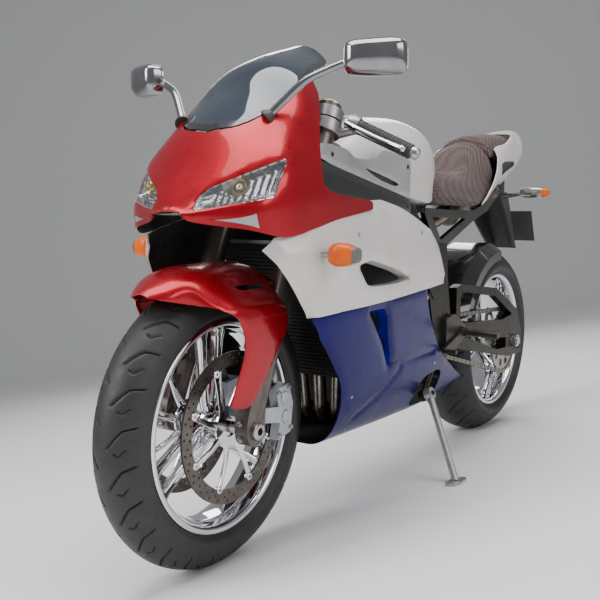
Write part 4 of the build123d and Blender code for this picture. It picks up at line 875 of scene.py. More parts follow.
def makeLowerFairings():
    for label, sign in (("left", 1), ("right", -1)):
        slot = sideSkin.fromSide(curved(sides["slot"], 2, 0.12, closed=True))
        split = sideSkin.fromSide([(x, z - 1.2) for x, z in sides["split"]])
        front = sideSkin.fromSide(curved(sides["blueFront"]))
        rear = sideSkin.fromSide(curved(sides["blueRear"], 1))
        outline = [(-400, 0)] + rear + split + front + [(402, 0)]
        holes = [slot]
        if sign > 0:
            # room for the stand's bracket
            notch = curved(sideSkin.fromSide(sides["standNotch"]), 2, 0.2, closed=True)
            holes.append([(u, max(v, 118)) for u, v in notch])
        flat, triangles, points = sideSkin.sheet(outline, holes, sides["spacing"] * 1.1)
        pressed(flat, points, split, *sides["pressWidths"]["split"])
        # a raised panel behind the slot ends in a ledge, and a keel line runs down to the front
        for key in ("lowCrease", "ledge", "keel"):
            pressed(flat, points, sideSkin.fromSide(sides[key]), *sides["pressWidths"][key])
        pressed(flat, points, slot, *sides["pressWidths"]["slot"], power=1.5, closed=True)
        shape = Shape().shell(points, triangles, sides["wall"], (100, 0, 420), lining=2)
        # the slot's duct walls take the brighter copy of the blue: painted light
        shape.mark = 1
        addDuct(shape, slot, sides["slotDuct"])
        makePiece("lowerFairing." + label, shape.sided(sign), ["blue_paint", "blueWithPaintedLight", "dark_plastic"],
                  "chassis", ["lower_fairing_" + label], sharp=24)


makeSideFairings()
makeLowerFairings()
print("fairings made")

fender = {
    "rows": [
        (905, [(16, 560), (18, 566), (20, 571), (20, 575), (19, 578), (17, 580), (14, 582), (9, 584),
               (4, 585), (0, 586)]),
        (880, [(40, 520), (44, 545), (47, 558), (48, 568), (46, 577), (42, 584), (36, 590), (26, 595),
               (12, 599), (0, 600)]),
        (839, [(60, 480), (66, 520), (70, 550), (72, 572), (70, 588), (64, 598), (56, 606), (42, 613),
               (20, 618), (0, 619)]),
        (806, [(120, 345), (124, 400), (124, 470), (122, 540), (108, 562), (88, 588), (68, 610), (46, 622),
               (22, 628), (0, 629)]),
        (770, [(128, 345), (134, 400), (137, 470), (137, 547), (118, 566), (92, 592), (70, 615), (48, 626),
               (24, 631), (0, 632)]),
        (640, [(128, 345), (134, 400), (137, 470), (137, 547), (118, 566), (92, 592), (70, 615), (48, 627),
               (24, 633), (0, 634)]),
        (590, [(110, 345), (120, 400), (126, 470), (126, 540), (108, 560), (86, 584), (68, 602), (46, 612),
               (22, 618), (0, 619)]),
        (545, [(60, 470), (66, 510), (68, 540), (69, 560), (67, 572), (62, 581), (54, 588), (38, 594),
               (18, 598), (0, 599)]),
    ],
    "edge": [(903, 577), (889, 574), (845, 564), (806, 556), (776, 538), (758, 506), (753, 467), (772, 417),
             (792, 374), (786, 360), (732, 352), (700, 390), (652, 452), (604, 506), (584, 530), (568, 560),
             (556, 568)],
    "slot": [(738, 588), (728, 594), (648, 594), (636, 588), (650, 584), (724, 584)],
    "wall": 3.2,
}


def makeFender():
    skin = Skin(fender["rows"], 2, 0.22, scale=420.0)
    lower = skin.fromSide(curved(fender["edge"], 2, 0.22))
    slot = skin.fromSide(curved(fender["slot"], 1, 0.2, closed=True))
    outline = lower + [(x, skin.scale) for x in [552, *range(566, 900, 14), 904]]
    flat, triangles, points = skin.sheet(outline, [slot])
    pressed(flat, points, lower, 7, 2.0)
    joined(points)
    shape = Shape().shell(points, triangles, fender["wall"], (705, 0, 480)).both()
    makePiece("frontMudguard", shape, ["red_paint"], "steering", ["front_fender"], sharp=30)


makeFender()
print("fender made")


# tyres, rims, discs, caliper fittings and the fork's fittings
tyres = {
    "front": {"axle": frontAxle, "radius": 300, "half": 60, "drop": 53, "bead": 45, "repeats": 24},
    "rear": {"axle": rearAxle, "radius": 311, "half": 95, "drop": 61, "bead": 76, "repeats": 22},
}
# dark: the share of the groove depth past which a face takes the painted groove shade
tread = {"width": 3.4, "depth": 3.4, "around": 1200, "across": 44, "start": 9.0, "reach": 0.80, "bend": 0.55,
         "slopes": (1.25, 0.35), "kink": (0.34, 0.50, 0.72), "kinkSlopes": (1.1, 0.5),
         "kinkStart": 0.52, "dark": 0.35}


def grooveDepth(along, side, pitch, reach):
    # long slanted grooves that alternate left and right, each with a short kinked one beside it
    if side < 0:
        along += pitch / 2
    out = abs(side)
    along = along % pitch
    deepest = 0.0

    def groove(lean, widening, slant):
        off = abs((along - lean + pitch / 2) % pitch - pitch / 2) / slant
        return min(1, max(0, (tread["width"] / 2 + widening - off) / 1.4))

    if tread["start"] < out < reach:
        bend = reach * tread["bend"]
        near, far = tread["slopes"]
        slope = near if out < bend else far
        lean = near * out if out < bend else near * bend + far * (out - bend)
        ends = min(1, (out - tread["start"]) / 3, (reach - out) / 5)
        deepest = max(deepest, ends * groove(lean, 0.9, hypot(1, slope)))
    start, middle, end = (reach * share for share in tread["kink"])
    if start < out < end:
        steep, shallow = tread["kinkSlopes"]
        lean = pitch * tread["kinkStart"]
        lean += steep * out if out > middle else steep * middle - shallow * (out - middle)
        ends = min(1, (out - start) / 3, (end - out) / 3)
        deepest = max(deepest, ends * 0.8 * groove(lean, 0.5, 1.35))
    return deepest * tread["depth"]


def makeTyre(name, node, body, spec):
    radius, half, drop, bead = spec["radius"], spec["half"], spec["drop"], spec["bead"]
    bend = (half ** 2 + drop ** 2) / (2 * drop)
    widest = atan2(half, bend - drop)
    centre = radius - bend
    steps, count = tread["around"], tread["across"]
    crown = []
    for index in range(count + 1):
        angle = widest * (2 * index / count - 1)
        crown.append((bend * sin(angle), centre + bend * cos(angle), bend * angle, cos(angle), sin(angle)))
    low = centre + bend * cos(widest)
    wall = [(half - 0.6, low - 8), (half - 4, low - 16), ((half + bead) / 2 - 1, 228), (bead + 1.5, 223.4),
            (bead, 219), (bead - 8, 219), (bead - 8, 226), (half - 14, low - 4),
            (half * 0.7, radius - drop * 0.42 - 10), (half * 0.35, radius - 14)]
    inner = wall[5:] + [(-y, r) for y, r in reversed(wall[5:])]
    right = [(-y, r) for y, r in reversed(wall[:5])]
    pitch = 2 * pi * radius / spec["repeats"]
    reach = bend * widest * tread["reach"]
    points = []
    for step in range(steps):
        angle = 2 * pi * step / steps
        along = angle * radius
        profile = []
        for y, r, side, outR, outY in crown:
            depth = grooveDepth(along, side, pitch, reach)
            profile.append((y - outY * depth, r - outR * depth))
        profile += wall[:5] + inner + right
        points += [spec["axle"] + Vector((r * cos(angle), y, r * sin(angle))) for y, r in profile]
    size = len(profile)
    faces, deep = [], []
    for step in range(steps):
        after = (step + 1) % steps
        for index in range(size):
            far = (index + 1) % size
            faces.append((step * size + index, after * size + index, after * size + far, step * size + far))
            depth = 0
            if index < count:
                side = (crown[index][2] + crown[index + 1][2]) / 2
                depth = grooveDepth((step + 0.5) * 2 * pi * radius / steps, side, pitch, reach)
            # faces deep in a groove take the near-black finish: painted shade
            deep.append(int(depth > tread["depth"] * tread["dark"]))
    shape = Shape().add(points, faces)
    shape.marks = deep
    makePiece(name, shape, ["tyre_rubber", "paintedGrooveShade"], body, [node], sharp=60)


rims = {
    "front": {"axle": frontAxle, "bead": 45, "hub": 52, "bore": 12.6, "depth": 34, "offset": 23},
    "rear": {"axle": rearAxle, "bead": 76, "hub": 60, "bore": 14.1, "depth": 46, "offset": 23},
}
# spoke sections from the hub out: reach, half width, half depth as a share, spread of the pair
spokeSections = [(31, 13, 0.52, 0.72), (52, 11.5, 0.5, 0.95), (90, 8.2, 0.40, 1.0), (140, 7.6, 0.38, 1.05),
                 (176, 9.5, 0.42, 1.14), (192, 14, 0.5, 1.24), (201, 21, 0.56, 1.3)]


def makeRim(name, node, body, spec):
    bead, axle = spec["bead"], spec["axle"]
    half = [(0, 203), (18, 203), (30, 215.8), (bead - 1, 216), (bead + 0.6, 222), (bead + 3.4, 222.4),
            (bead + 4.8, 219), (bead + 4.6, 212), (bead - 2, 206.5), (bead * 0.55, 200), (22, 197.4),
            (0, 197)]
    loop = half + [(-y, r) for y, r in reversed(half[1:-1])]
    shape = Shape()
    shape.lathe(curved(loop, 1, 0.2, closed=True), axle, steps=144)
    hub = spec["hub"]
    profile = [(hub, spec["bore"]), (hub, 27), (hub - 6, 31), (hub - 20, 33), (hub - 32, 38), (0, 40),
               (32 - hub, 38), (20 - hub, 33), (6 - hub, 31), (-hub, 27), (-hub, spec["bore"])]
    shape.lathe(profile, axle, steps=72)
    for arm in range(3):
        for side in (1, -1):
            out, across = spoke(pi / 2 + arm * 2 * pi / 3)
            rings = []
            for reach, width, deep, spread in spokeSections:
                middle = axle + out * reach + across * side * spec["offset"] * spread
                rings.append([middle + across * width * wide + Vector((0, spec["depth"] * deep * thick, 0))
                              for wide, thick in [(bulged(cos(pi * k / 8), 0.6), bulged(sin(pi * k / 8), 0.7))
                                                  for k in range(16)]])
            shape.loft(rings)
    makePiece(name, shape, ["wheel_chrome"], body, [node], sharp=42)


def drilledRing(inner, outer, holeRows, steps=120):
    # a flat ring with rows of small round holes: radius, count, hole radius, start angle
    points, edges, spots = [], [], []

    def addLoop(u, v, radius, count):
        start = len(points)
        points.extend(circle(u, v, radius, count))
        edges.extend((start + k, start + (k + 1) % count) for k in range(count))

    addLoop(0, 0, outer, steps)
    addLoop(0, 0, inner, steps)
    for reach, count, size, start in holeRows:
        for k in range(count):
            angle = start + 2 * pi * k / count
            spots.append((reach * cos(angle), reach * sin(angle), size))
            addLoop(*spots[-1], 10)
    return filled(points, edges, lambda u, v: inner < hypot(u, v) < outer
                  and all(hypot(u - a, v - b) > size * 0.8 for a, b, size in spots))


discs = {
    "front": {"radius": 157.5, "inner": 128, "plane": 63, "hub": 52.2, "thick": 4.5, "bobbins": 8,
              "holes": [(134.5, 30, 3.1, 0.0), (142.5, 30, 3.1, 0.105), (150.5, 30, 3.1, 0.03)]},
    "rear": {"radius": 110, "inner": 82, "plane": -106, "hub": -60.2, "thick": 4.5, "bobbins": 6,
             "holes": [(89, 20, 3.1, 0.0), (96, 20, 3.1, 0.157), (103, 20, 3.1, 0.04)]},
}
armSection = [(1, 0.5), (0.8, 1), (-0.8, 1), (-1, 0.5), (-1, -0.5), (-0.8, -1), (0.8, -1), (1, -0.5)]


def addDisc(shape, axle, spec):
    flat, triangles = drilledRing(spec["inner"], spec["radius"], spec["holes"])
    sign = 1 if spec["plane"] > 0 else -1
    outer = spec["plane"] + sign * spec["thick"] / 2
    shape.mark = 0
    points = [(axle.x + u, outer, axle.z + v) for u, v in flat]
    shape.shell(points, triangles, spec["thick"], (axle.x, 0, axle.z))
    shape.mark = 1
    root = spec["hub"]
    shape.lathe([(root, 22), (root + sign * 4.4, 22), (root + sign * 4.4, 44), (root, 44)], axle, steps=72)
    count = spec["bobbins"]
    for arm in range(count):
        turn = 2 * pi * arm / count + 0.2
        far = turn + 0.16
        rings = []
        for reach, angle, width, y in ((40, turn, 10, root + sign * 2.2),
                                       (70, turn + 0.05, 6.5, (root + outer) / 2),
                                       (spec["inner"] - 8, far - 0.02, 6, outer - sign * 2.4),
                                       (spec["inner"] + 2, far, 8.5, outer - sign * 2.2)):
            out, across = spoke(angle)
            middle = axle + out * reach + Vector((0, y, 0))
            rings.append([middle + across * width * a + Vector((0, 2.1 * b, 0)) for a, b in armSection])
        shape.loft(rings)
        spot = axle + spoke(far)[0] * (spec["inner"] + 1) + Vector((0, outer, 0))
        head = [(-6.4, 3), (-6.4, 8.2), (1.2, 8.2), (2.2, 7), (2.2, 3.2)]
        shape.lathe([(sign * along, radius) for along, radius in head], spot, steps=20)


def makeBrakes():
    shape = Shape()
    addDisc(shape, frontAxle, discs["front"])
    shape.both()
    makePiece("frontBrakeDiscs", shape, ["disc_steel", "wheel_chrome"], "front_wheel", ["front_discs"],
              sharp=35)
    shape = Shape()
    addDisc(shape, rearAxle, discs["rear"])
    makePiece("rearBrakeDisc", shape, ["disc_steel", "wheel_chrome"], "rear_wheel", ["rear_disc"], sharp=35)


def bolt(shape, spot, axis=(0, 1, 0), radius=5.0, height=4.0):
    # a socket-head screw with its hexagon recess and washer
    spot, axis = Vector(spot), Vector(axis).normalized()
    shape.lathe([(-1, 0.01), (-1, radius * 1.45), (0.8, radius * 1.45), (0.9, radius), (height - 0.8, radius),
                 (height, radius * 0.86), (height, radius * 0.5), (height * 0.4, radius * 0.46),
                 (height * 0.4, 0.01)],
                spot, axis, 18, looped=False)


# places on the outer caliper half, from the front axle
caliper = {"face": 93, "pistons": [(-146, 38), (-150, -4)],
           "bolts": [(-121, 54), (-158, 60), (-166, -30), (-124, -40)], "union": (-34, 20)}


def makeCaliperDetail():
    # piston covers, joint bolts and the hose union on the outer halves
    shape = Shape()
    for x, z in caliper["pistons"]:
        centre = frontAxle + Vector((x, caliper["face"], z))
        shape.mark = 0
        shape.lathe([(-2, 0.01), (-2, 15.5), (2.4, 15.5), (3.6, 14), (3.6, 10), (2.4, 9), (2.4, 0.01)],
                    centre, steps=36, looped=False)
    shape.mark = 1
    for x, z in caliper["bolts"]:
        bolt(shape, frontAxle + Vector((x, caliper["face"], z)), radius=4.6, height=5)
    x, z = caliper["union"]
    bolt(shape, frontAxle + Vector((x, caliper["face"], z)), radius=6, height=7)
    shape.both()
    makePiece("caliperFittings", shape, ["caliper_metal", "boltSteel"], "steering")


rakeAngle = radians(23.75)
alongFork = Vector((-sin(rakeAngle), 0, cos(rakeAngle)))
acrossFork = Vector((cos(rakeAngle), 0, sin(rakeAngle)))
steeringBase = Vector((807, 0, 0))


def onFork(ahead, side, height):
    return steeringBase + acrossFork * ahead + alongFork * height + Vector((0, side, 0))


forkOffset = (frontAxle - steeringBase).dot(acrossFork)
forkSide = 106  # half the distance between the legs
forkFoot = [(-30, 4), (-27, -20), (-4, -33), (22, -27), (31, -4), (28, 30), (14, 62), (6, 96), (-34, 84),
            (-32, 40)]


def makeForkDetail():
    # cast feet with pinch bolts, wiper rings and the preload caps
    shape = Shape()
    outline = [(frontAxle.x + x, frontAxle.z + z) for x, z in softened(forkFoot, closed=True)]
    shape.slab(outline, 92, 124, holes=[circle(frontAxle.x, frontAxle.z, 13, 24)])
    shape.mark = 1
    for z in (-14, 18):
        bolt(shape, frontAxle + Vector((31, forkSide, z)), (1, 0, 0), 4.4, 5)
    shape.lathe([(-6, 8.2), (-6, 17), (2, 19), (8, 18), (10, 15), (10, 8.2)], frontAxle + Vector((0, 124, 0)),
                steps=36)
    shape.mark = 2
    for height, radius in ((548, 26.5), (556, 28.2), (563, 28.4)):
        shape.lathe([(-3, 21.7), (-3, radius), (3, radius), (3, 21.7)], onFork(forkOffset, forkSide, height),
                    alongFork, 48)
    shape.mark = 3
    shape.lathe([(-2, 0.01), (-2, 26), (2, 26), (3.5, 24), (3.5, 16), (9, 15), (9, 7), (13, 6.4), (13, 0.01)],
                onFork(forkOffset, forkSide, 1050), alongFork, 48, looped=False)
    shape.both()
    makePiece("forkFittings", shape, ["fork_bronze", "boltSteel", "dark_plastic", "lampGold"], "steering",
              sharp=34)


for place, node, body in (("front", "front_tyre", "front_wheel"), ("rear", "rear_tyre", "rear_wheel")):
    makeTyre(place + "Tyre", node, body, tyres[place])
    makeRim(place + "Rim", place + "_rim", body, rims[place])
makeBrakes()
makeCaliperDetail()
makeForkDetail()
print("wheels, brakes and fork made")

# the tank with its cap, and the covers beside it
tank = {
    "rows": [
        (322, [(112, 800), (113, 838), (106, 868), (82, 894), (46, 908), (0, 913)]),
        (230, [(132, 790), (131, 840), (124, 888), (102, 926), (58, 950), (0, 958)]),
        (50, [(140, 772), (146, 836), (146, 892), (122, 942), (74, 976), (0, 986)]),
        (-70, [(128, 764), (132, 830), (132, 890), (112, 938), (68, 970), (0, 980)]),
        (-160, [(98, 802), (99, 842), (97, 880), (84, 918), (54, 946), (0, 955)]),
        (-213, [(70, 858), (69, 868), (65, 880), (54, 898), (34, 912), (0, 919)]),
    ],
    "filler": (176, 30.0), "ends": (-213, 322), "step": 10.7, "floor": -2, "shares": (0.0, 0.35, 0.7, 0.93),
}


def makeTank():
    skin = Skin(tank["rows"])
    rings = []
    x, high = tank["ends"]
    while x <= high:
        rings.append(section(skin, x, tank["shares"], tank["floor"]))
        x += tank["step"]
    shape = Shape().loft(rings)
    makePiece("tankShell", shape, ["white_paint"], "chassis", ["fuel_tank"], sharp=40)
    x, radius = tank["filler"]
    top = skin.at(x, skin.scale)
    slope = (skin.at(x + 20, skin.scale) - skin.at(x - 20, skin.scale)).normalized()
    axis = Vector((-slope.z, 0, slope.x))
    cap = Shape()
    cap.lathe([(-6, 0.01), (-6, radius + 6), (1.5, radius + 6), (3, radius + 4), (3.2, radius + 1), (6, radius),
               (8, radius - 3), (8.4, radius - 12), (7, radius - 14), (7, 0.01)], top, axis, 60, looped=False)
    cap.mark = 1
    for k in range(6):
        turn = slope * cos(pi * k / 3) + Vector((0, 1, 0)) * sin(pi * k / 3)
        bolt(cap, top + turn * (radius + 2) + axis * 2.6, axis, 2.6, 2.4)
    makePiece("fillerCap", cap, ["mirror_housing", "boltSteel"], "chassis", sharp=34)


covers = {
    "silver": [(518, 848.6), (130, 778.6), (95, 772), (88, 866), (150, 877), (240, 885), (284, 859),
               (368, 858), (406, 877), (480, 884), (518, 883)],
    "black": [(545, 800), (545, 846), (518, 848), (130, 778), (92, 768), (84, 730), (330, 752), (480, 765)],
    "recess": [(338, 842), (226, 822), (150, 806), (176, 800), (262, 815)],
    "plane": 152.0, "wall": 3.8, "bulge": 2.4, "recessDepth": 1.6,
    "duct": [(350, 850), (350, 836), (140, 796), (140, 812)],
    "silverScrews": [(470, 862), (112, 850)], "blackScrews": [(500, 790), (110, 752)],
}


def makeCovers():
    for name, key, node, look in (("tankCovers", "silver", "tank_covers", "silver_paint"),
                                  ("framePanels", "black", "infill_panels", "black_plastic")):
        outline = curved(covers[key], 2, 0.14, closed=True)
        holes = [curved(covers["recess"], 1, 0.2, closed=True)] if key == "silver" else []
        flat, triangles = cutSheet(outline, holes, 9.0)
        points = []
        for u, v in flat:
            near = min(1.0, nearness(outline, u, v, True) / 16)
            y = covers["plane"] - covers["bulge"] * (1 - near) ** 2
            if holes and nearness(holes[0], u, v, True) < 8:
                y -= covers["recessDepth"] * (1 - nearness(holes[0], u, v, True) / 8)
            points.append((u, y, v))
        shape = Shape().shell(points, triangles, covers["wall"], (300, 0, 800))
        shape.mark = 1
        if holes:
            # the dark duct behind the recess
            shape.slab(covers["recess"], 141, 143.5)
            shape.slab(covers["duct"], 120, 141)
        for x, z in covers[key + "Screws"]:
            bolt(shape, (x, covers["plane"] - 0.6, z), radius=4.2, height=2.4)
        shape.both()
        makePiece(name, shape, [look, "dark_plastic"], "chassis", [node], sharp=30)


makeTank()
makeCovers()
print("tank and covers made")

# tail cowl and lamp
tail = {
    "walls": [
        (-440, [(126, 757), (141, 780), (141, 790), (138, 796), (132, 799)]),
        (-520, [(112, 776), (134, 818), (132, 850), (118, 868), (109, 871)]),
        (-600, [(96, 798), (128, 850), (122, 900), (107, 934), (97, 939)]),
        (-700, [(82, 828), (118, 880), (112, 925), (104, 957), (94, 962)]),
        (-800, [(72, 860), (108, 905), (100, 950), (88, 988), (77, 994)]),
        (-866, [(61, 892), (99, 929), (88, 976), (62, 1007), (50, 1011)]),
    ],
    "deck": [
        (-862, [(62, 890), (100, 928), (89, 976), (62, 1008), (0, 1013)]),
        (-930, [(44, 938), (76, 965), (66, 1000), (40, 1021), (0, 1026)]),
        (-978, [(24, 984), (44, 1000), (40, 1017), (18, 1029), (0, 1031)]),
    ],
    "front": [(-440, 766), (-500, 815), (-560, 866), (-594, 915), (-597, 934)],
    "pocket": [(-612, 900), (-800, 914), (-790, 896), (-660, 866), (-598, 846)], "pocketDepth": 10,
    "wall": 3.6,
    "lamp": [(-30, 992), (-34, 1004), (-14, 1024), (14, 1024), (34, 1004), (30, 992), (16, 986), (-16, 986)],
    "lampRings": [(-966, 0.86), (-976, 0.95), (-982, 0.97), (-986, 0.9), (-988, 0.7)],
}


def makeTail():
    skin = Skin(tail["walls"], 2, 0.22, centred=False, scale=170.0)
    front = skin.fromSide(tail["front"])
    outline = [(x, 0) for x in (-866, -800, -700, -600, -520, -446)] + front
    outline += [(x, skin.scale) for x in (-602, -640, -700, -760, -820, -866)]
    pocket = skin.fromSide(curved(tail["pocket"], 1, 0.2, closed=True))
    floorLoop = smaller(pocket, 0.86)
    flat, triangles, points = skin.sheet(outline, [], 7.0, [pocket, floorLoop])
    for index, (u, v) in enumerate(flat):
        if insideOf(pocket, u, v):
            points[index].y -= tail["pocketDepth"] * min(1, nearness(pocket, u, v, True) / 6)
    shape = Shape().shell(points, triangles, tail["wall"], (-660, 0, 900), lining=1)
    for place, triangle in enumerate(triangles):
        shape.marks[place] = int(insideOf(floorLoop, *middleOf(flat, triangle)))
    deck = Skin(tail["deck"], 2, 0.22, scale=200.0)
    outline = [(x, 0) for x in (-978, -930, -862)] + [(x, deck.scale) for x in (-862, -920, -978)]
    flat, triangles, points = deck.sheet(outline, [], 8.0)
    joined(points)
    shape.mark = 0
    shape.shell(points, triangles, tail["wall"], (-920, 0, 960))
    # a dark wall closes the deck behind the pillion pad
    shape.mark = 1
    shape.loft([[Vector((x, y * 0.93, 950 + (z - 950) * 0.93)) for y, z in ((0, 905), *tail["deck"][0][1])]
                for x in (-868, -871)])
    shape.both()
    makePiece("tailCowl", shape, ["white_paint", "dark_plastic"], "chassis", ["tail_cowl"], sharp=32)
    # tail lamp
    lamp = Shape().loft([[Vector((x + 4 * abs(y) / 34, y * share, 1005 + (z - 1005) * share))
                          for y, z in tail["lamp"]] for x, share in tail["lampRings"]])
    makePiece("tailLamp", lamp, ["red_lens"], "chassis", ["tail_light"], sharp=30, bevel=1.2)


makeTail()
print("tail made")

# two padded seats
seats = {
    "rider": {
        "rows": [
            (-86, [(130, 762), (134, 778), (134, 800), (124, 838), (84, 850), (0, 850)]),
            (-230, [(128, 756), (134, 776), (134, 802), (118, 838), (80, 848), (0, 840)]),
            (-400, [(124, 756), (130, 776), (130, 806), (112, 844), (76, 856), (0, 850)]),
            (-500, [(114, 783), (120, 800), (120, 832), (106, 880), (70, 914), (0, 924)]),
            (-586, [(98, 832), (108, 848), (108, 880), (94, 918), (56, 960), (0, 974)]),
        ],
        "ends": (-583, -90), "step": 12.0, "floor": 4, "pinned": 12.0, "cap": 7.0, "voxel": 6.0,
        "pressure": 3.5, "seams": [[(-570, 0.46), (-500, 0.40), (-400, 0.36), (-230, 0.36), (-110, 0.36)]],
    },
    "pillion": {
        "rows": [
            (-848, [(45, 980), (46, 984), (46, 987), (40, 992), (30, 994), (0, 998)]),
            (-800, [(72, 958), (73, 962), (73, 970), (66, 984), (46, 996), (0, 1004)]),
            (-700, [(90, 932), (91, 940), (89, 952), (80, 974), (56, 990), (0, 1000)]),
            (-590, [(96, 906), (98, 914), (96, 926), (84, 952), (56, 972), (0, 986)]),
        ],
        "ends": (-848, -592), "step": 12.0, "floor": 3, "pinned": 8.0, "cap": 5.0, "voxel": 5.0,
        "pressure": 3.0, "seams": [[(-820, 0.40), (-700, 0.36), (-604, 0.34)]],
    },
}
seatSection = {"shares": (0.0, 0.4, 0.8), "ends": (0.90, 0.97)}
# climb: the length, in millimetres, that the seat's skin is taken to have from foot to top along a seam
seam = {"spacing": 9, "width": 12, "depth": 2.6, "climb": 900}
upright = leaning.inverted()


def remeshed(piece, voxel):
    grid = piece.modifiers.new("grid", "REMESH")
    grid.mode, grid.voxel_size = "VOXEL", voxel * mm
    graph = bpy.context.evaluated_depsgraph_get()
    mesh = bpy.data.meshes.new_from_object(piece.evaluated_get(graph))
    piece.modifiers.remove(grid)
    piece.data = mesh


def inflated(piece, spec):
    # cloth held at the seat's base is blown up by the foam, and no point moves further than the cap
    base = {}
    for vertex in piece.data.vertices:
        spot = upright @ vertex.co / mm
        key = round(spot.x / 12)
        base[key] = min(base.get(key, 9999), spot.z)
    held = [vertex.index for vertex in piece.data.vertices
            if (upright @ vertex.co / mm).z < base[round((upright @ vertex.co / mm).x / 12)] + spec["pinned"]]
    piece.vertex_groups.new(name="held").add(held, 1.0, "REPLACE")
    before = [vertex.co.copy() for vertex in piece.data.vertices]
    cloth = piece.modifiers.new("cloth", "CLOTH")
    cloth.settings.use_pressure = True
    cloth.settings.uniform_pressure_force = spec["pressure"]
    cloth.settings.effector_weights.gravity = 0
    cloth.settings.vertex_group_mass = "held"
    scene = bpy.context.scene
    for number in range(1, 21):
        scene.frame_set(number)
    graph = bpy.context.evaluated_depsgraph_get()
    after = [vertex.co.copy() for vertex in piece.evaluated_get(graph).data.vertices]
    piece.modifiers.remove(cloth)
    scene.frame_set(1)
    for vertex, old, new in zip(piece.data.vertices, before, after):
        move = new - old
        limit = spec["cap"] * mm
        vertex.co = old + (move * (limit / move.length) if move.length > limit else move)


def makeSeat(name, node, spec):
    skin = Skin(spec["rows"])
    low, high = spec["ends"]
    count = int((high - low) / spec["step"])
    rings = [section(skin, low + (high - low) * index / count, seatSection["shares"], spec["floor"])
             for index in range(count + 1)]
    # the ends are rounded over
    for offset, share in enumerate(seatSection["ends"]):
        for ring in (rings[offset], rings[-1 - offset]):
            centre = sum(ring, Vector()) / len(ring)
            for index, point in enumerate(ring):
                ring[index] = Vector((point.x, centre.y + (point.y - centre.y) * share,
                                      centre.z + (point.z - centre.z) * share))
    piece = makePiece(name, Shape().loft(rings), ["seat_fabric"], "chassis", [node], sharp=80)
    remeshed(piece, spec["voxel"])
    inflated(piece, spec)
    for polygon in piece.data.polygons:
        polygon.use_smooth = True
    seamLines = []
    for line in spec["seams"]:
        climbing = resampled([(x, v * seam["climb"]) for x, v in line], seam["spacing"])
        spots = [skin.at(x, v / seam["climb"] * skin.scale) for x, v in climbing]
        for side in (1, -1):
            seamLines.append([Vector((spot.x, spot.y * side, spot.z)) for spot in spots])
    for vertex in piece.data.vertices:
        spot = upright @ vertex.co / mm
        for line in seamLines:
            near = min((spot - point).length for point in line)
            if near < seam["width"]:
                out = Vector((0, spot.y, spot.z - 800)).normalized()
                spot -= out * seam["depth"] * (1 - near / seam["width"]) ** 2
        vertex.co = leaning @ (spot * mm)
    smooth = piece.modifiers.new("smooth", "SUBSURF")
    smooth.levels = smooth.render_levels = 1


for label, node in (("rider", "rider_seat"), ("pillion", "pillion_seat")):
    makeSeat(label + "Seat", node, seats[label])
print("seats made")

mirror = {
    "centre": (566, 300, 1038), "across": (-0.42, 0.9, 0.02), "facing": (-0.9, -0.42, 0.02),
    "half": (64, 37), "widens": 0.10, "lifts": 0.05,
    "stem": [(652, 112, 926), (634, 136, 956), (610, 172, 996), (590, 214, 1018), (578, 244, 1030)],
    "sections": [(20, 0.90, 0.90, 0), (21, 0.97, 0.97, 0), (14, 1.0, 1.0, 0), (2, 1.0, 1.0, 1),
                 (-8, 0.96, 0.92, 3), (-16, 0.86, 0.72, 5), (-20.5, 0.66, 0.42, 6), (-21.5, 0.3, 0.15, 6)],
}


def makeMirrors():
    shape = Shape()
    shape.tube(smoothPath(mirror["stem"], 5), 8.0, 20)
    across, facing = Vector(mirror["across"]).normalized(), Vector(mirror["facing"]).normalized()
    up = across.cross(facing)
    up = up if up.z > 0 else -up
    centre = Vector(mirror["centre"])
    rings = []
    halfWide, halfHigh = mirror["half"]
    for depth, wide, high, lift in mirror["sections"]:
        # the housing is wider and higher towards its outer end
        ring = roundedRing(halfWide * wide, halfHigh * high)
        taper = [(a * (1 + mirror["widens"] * a / halfWide), b) for a, b in ring]
        rings.append([centre + facing * depth + across * a * 0.97
                      + up * (b * (0.94 + mirror["lifts"] * a / halfWide) + lift) for a, b in taper])
    shape.loft(rings)
    shape.mark = 1
    glass = roundedRing(halfWide * 0.86, halfHigh * 0.84)
    shape.loft([[centre + facing * depth + across * a + up * b for a, b in glass] for depth in (19.5, 20.6)])
    shape.mark = 2
    foot = Vector(mirror["stem"][0])
    shape.lathe([(-4, 0.01), (-4, 17), (2, 16), (8, 12), (12, 9), (12, 0.01)], foot,
                Vector((-0.5, 0.55, 0.6)), 30, looped=False)
    shape.both()
    makePiece("mirrors", shape, ["mirror_housing", "mirrorGlass", "dark_plastic"], "chassis", ["mirrors"],
              sharp=40)


indicators = {
    "front": {"stalk": [(606, 212, 655), (606, 244, 655)], "lens": (606, 238, 655), "reach": 61, "half": 26.0,
              "body": "grey_plastic",
              "lensLine": [(0.0, 0.40), (0.012, 0.70), (0.10, 0.86), (0.24, 0.98), (0.36, 1.0), (0.56, 0.94),
                           (0.74, 0.80), (0.86, 0.64)],
              "bodyLine": [(0.85, 0.60), (0.865, 0.655), (0.93, 0.62), (0.98, 0.52), (1.0, 0.36)]},
    "rear": {"stalk": [(-776, 61, 790), (-776, 134, 801)], "lens": (-776, 128, 803), "reach": 99,
             "half": 21.5, "body": "boltSteel",
             "lensLine": [(0.76, 0.60), (0.765, 0.79), (0.86, 0.74), (0.94, 0.62), (0.985, 0.46), (1.0, 0.2)],
             "bodyLine": [(0.0, 0.45), (0.03, 0.68), (0.18, 0.88), (0.40, 1.0), (0.62, 0.94), (0.77, 0.82)]},
}


